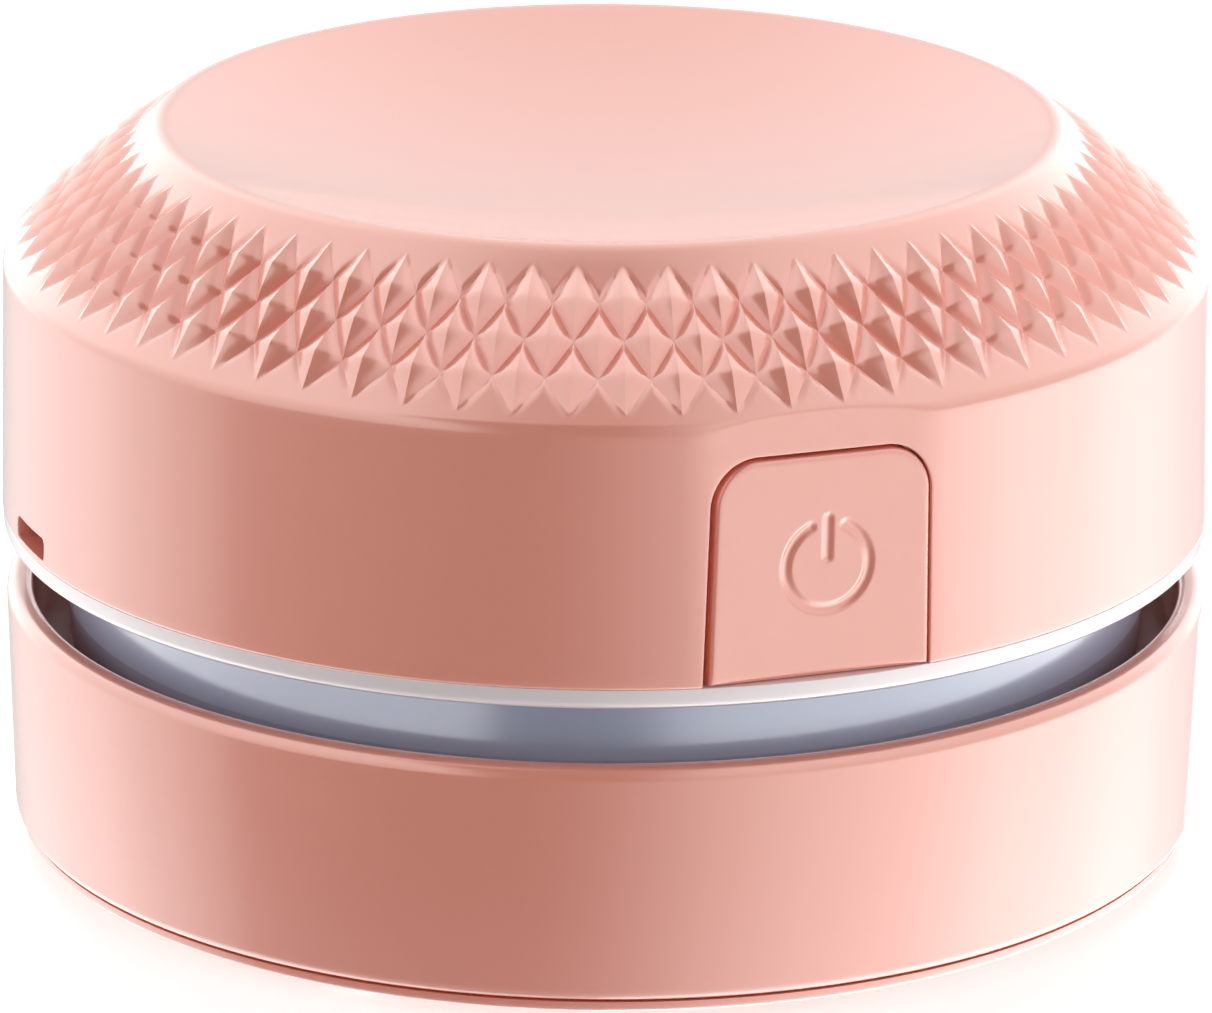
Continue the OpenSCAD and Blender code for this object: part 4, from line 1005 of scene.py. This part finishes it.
# Light: softboxes on the left and right, an even sky, and a ring of white cards seen in the shine.
# Directions are turned from the camera's. A level of 1 is a face that looks white.
lamps = {
    "keyLeft": {"side": -85, "up": 18, "distance": 0.6, "width": 0.5, "height": 0.4, "level": 1.74},
    "fillRight": {"side": 62, "up": 18, "distance": 0.6, "width": 0.5, "height": 0.4, "level": 1.74},
    "topBack": {"side": 180, "up": 50, "distance": 0.7, "width": 0.6, "height": 0.6, "level": 2.4}}
studio = {"horizon": 0.24, "zenith": 0.3, "front": 0.2, "behind": 0.8, "behindHigh": 2.2, "sides": 1.7,
          "floor": 0.72, "floorShine": 1.2, "floorSize": 3.0, "floorGlow": 0.6, "aimHeight": 26,
          # where each part of the backdrop fades from one level to the next, as shares of the direction
          "sideFade": (0, 0.5), "darkLeft": (-0.5, -0.3), "darkRight": (0, 0.3), "darkAhead": (0.05, 0.3),
          "upperFade": (-0.28, -0.03), "floorFade": (-0.7, -0.3)}
cards = [(-180, 0.5), (-160, 0.9), (-135, 1.8), (-111, 2.6), (-92, 2.2), (-79, 1.5), (-73, 0.6), (-62, 0.42),
         (-49, 0.24), (-37, 0.12), (-24, 0.12), (-13, 0.2), (-4, 0.5), (1, 0.8), (11, 1.6), (19, 2.3),
         (39, 3.7), (60, 4.6), (82, 5.8), (114, 4.2), (140, 1.7), (160, 0.8), (180, 0.5)]


def addLamp(name, side, up, distance, width, height, level):
    # a softbox on a sphere round the object, aimed at its middle
    a, e = math.radians(side + camera["azimuth"]), math.radians(up)
    target = Vector((0, 0, studio["aimHeight"] * mm))
    away = Vector((math.sin(a) * math.cos(e), -math.cos(a) * math.cos(e), math.sin(e))) * distance
    data = bpy.data.lights.new(name, "AREA")
    data.shape = "RECTANGLE"
    data.size, data.size_y = width, height
    data.energy = level * math.pi * width * height
    obj = bpy.data.objects.new(name, data)
    aim = (-away).to_track_quat("-Z", "Y").to_matrix().to_4x4()
    obj.matrix_world = Matrix.Translation(target + away) @ aim
    obj.visible_camera = False
    obj.visible_glossy = False
    scene.collection.objects.link(obj)


def addFloor():
    # pale square sheet, white to the camera less the object's shadow. The lamps' light passes it.
    mesh = bpy.data.meshes.new("floor")
    size = studio["floorSize"]
    corners = [(-size, -size, 0), (size, -size, 0), (size, size, 0), (-size, size, 0)]
    mesh.from_pydata(corners, [], [(0, 1, 2, 3)])
    obj = bpy.data.objects.new("floor", mesh)
    f = Finish("floorPaper", Roughness=0.6, Base_Color=[studio["floor"]] * 3, Emission_Color=(1, 1, 1))
    seen = f.node("ShaderNodeLightPath").output("Is Camera Ray")
    f.set(Emission_Strength=seen * studio["floorGlow"])
    mesh.materials.append(f.material)
    scene.collection.objects.link(obj)
    obj.visible_glossy = False
    obj.visible_shadow = False


def addWorld():
    # White to the camera. Soft light grows from horizon to zenith. Shine below the horizon sees the cards,
    # and above it a backdrop that darkens towards the camera.
    world = bpy.data.worlds.new("studio")
    scene.world = world
    w = Tree(world, "Background")
    path = w.node("ShaderNodeLightPath")
    direction = w.node("ShaderNodeTexCoord").output("Generated")
    up = w.node("ShaderNodeSeparateXYZ", Vector=direction).output("Z")
    a = math.radians(camera["azimuth"])
    product = {"operation": "DOT_PRODUCT"}
    ahead, beside = [w.node("ShaderNodeVectorMath", product, s0=direction, s1=axis).output("Value")
                     for axis in [(math.sin(a), -math.cos(a), 0), (math.cos(a), math.sin(a), 0)]]
    around = beside.sum("ARCTAN2", beside, ahead)
    ramp = w.node("ShaderNodeValToRGB", Fac=around * (1 / turn) + 0.5)
    stops = ramp.made.color_ramp.elements
    brightest = max(level for side, level in cards)
    for n, (side, level) in enumerate(cards):
        stop = stops[0] if n == 0 else stops.new(side / 360 + 0.5)
        stop.color = [level / brightest] * 3 + [1]
    stops.remove(stops[len(cards)])
    s = studio
    high = up.larger(0) * (s["behindHigh"] - s["behind"]) + s["behind"]
    bright = high + w.ease(beside.size(), *s["sideFade"], 0, s["sides"])
    dark = w.ease(beside, *s["darkLeft"], 0, 1) * w.ease(beside, *s["darkRight"], 1, 0)
    dark = dark * w.ease(ahead, *s["darkAhead"], 0, 1)
    upper = w.ease(up, *s["upperFade"], 0, 1)
    lower = brightest * ramp.output("Color") + w.ease(up, *s["floorFade"], s["floorShine"], 0)
    shine = upper * (bright + dark * (s["front"] - bright)) + (1 - upper) * lower
    soft = up.larger(0) * (s["zenith"] - s["horizon"]) + s["horizon"]
    glossy = path.output("Is Glossy Ray")
    light = shine * glossy + (1 - glossy) * soft
    w.set(Color=(1, 1, 1), Strength=light.larger(path.output("Is Camera Ray")))


print("light")
for name, lamp in lamps.items():
    addLamp(name, **lamp)
addFloor()
addWorld()
scene.view_settings.view_transform = "Standard"

finishes = {"chassis": whitePlastic, "filter_frame": greyPlastic, "fan_housing": greyPlastic,
            "impeller": whitePlastic, "switch_plunger": blackPlastic, "filter_seal": softRubber,
            "battery_cell": cellWrap(), "circuit_board": boardFinish()}
steelPieces = ("tact_switch", "usb_socket", "motor_can", "motor_shaft", "motor_screws", "fan_screws",
               "board_screws", "chassis_screws", "base_screws")
finishes.update(dict.fromkeys(steelPieces, steel))
for name, material in finishes.items():
    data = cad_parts[name].data
    data.materials.clear()
    data.materials.append(material)
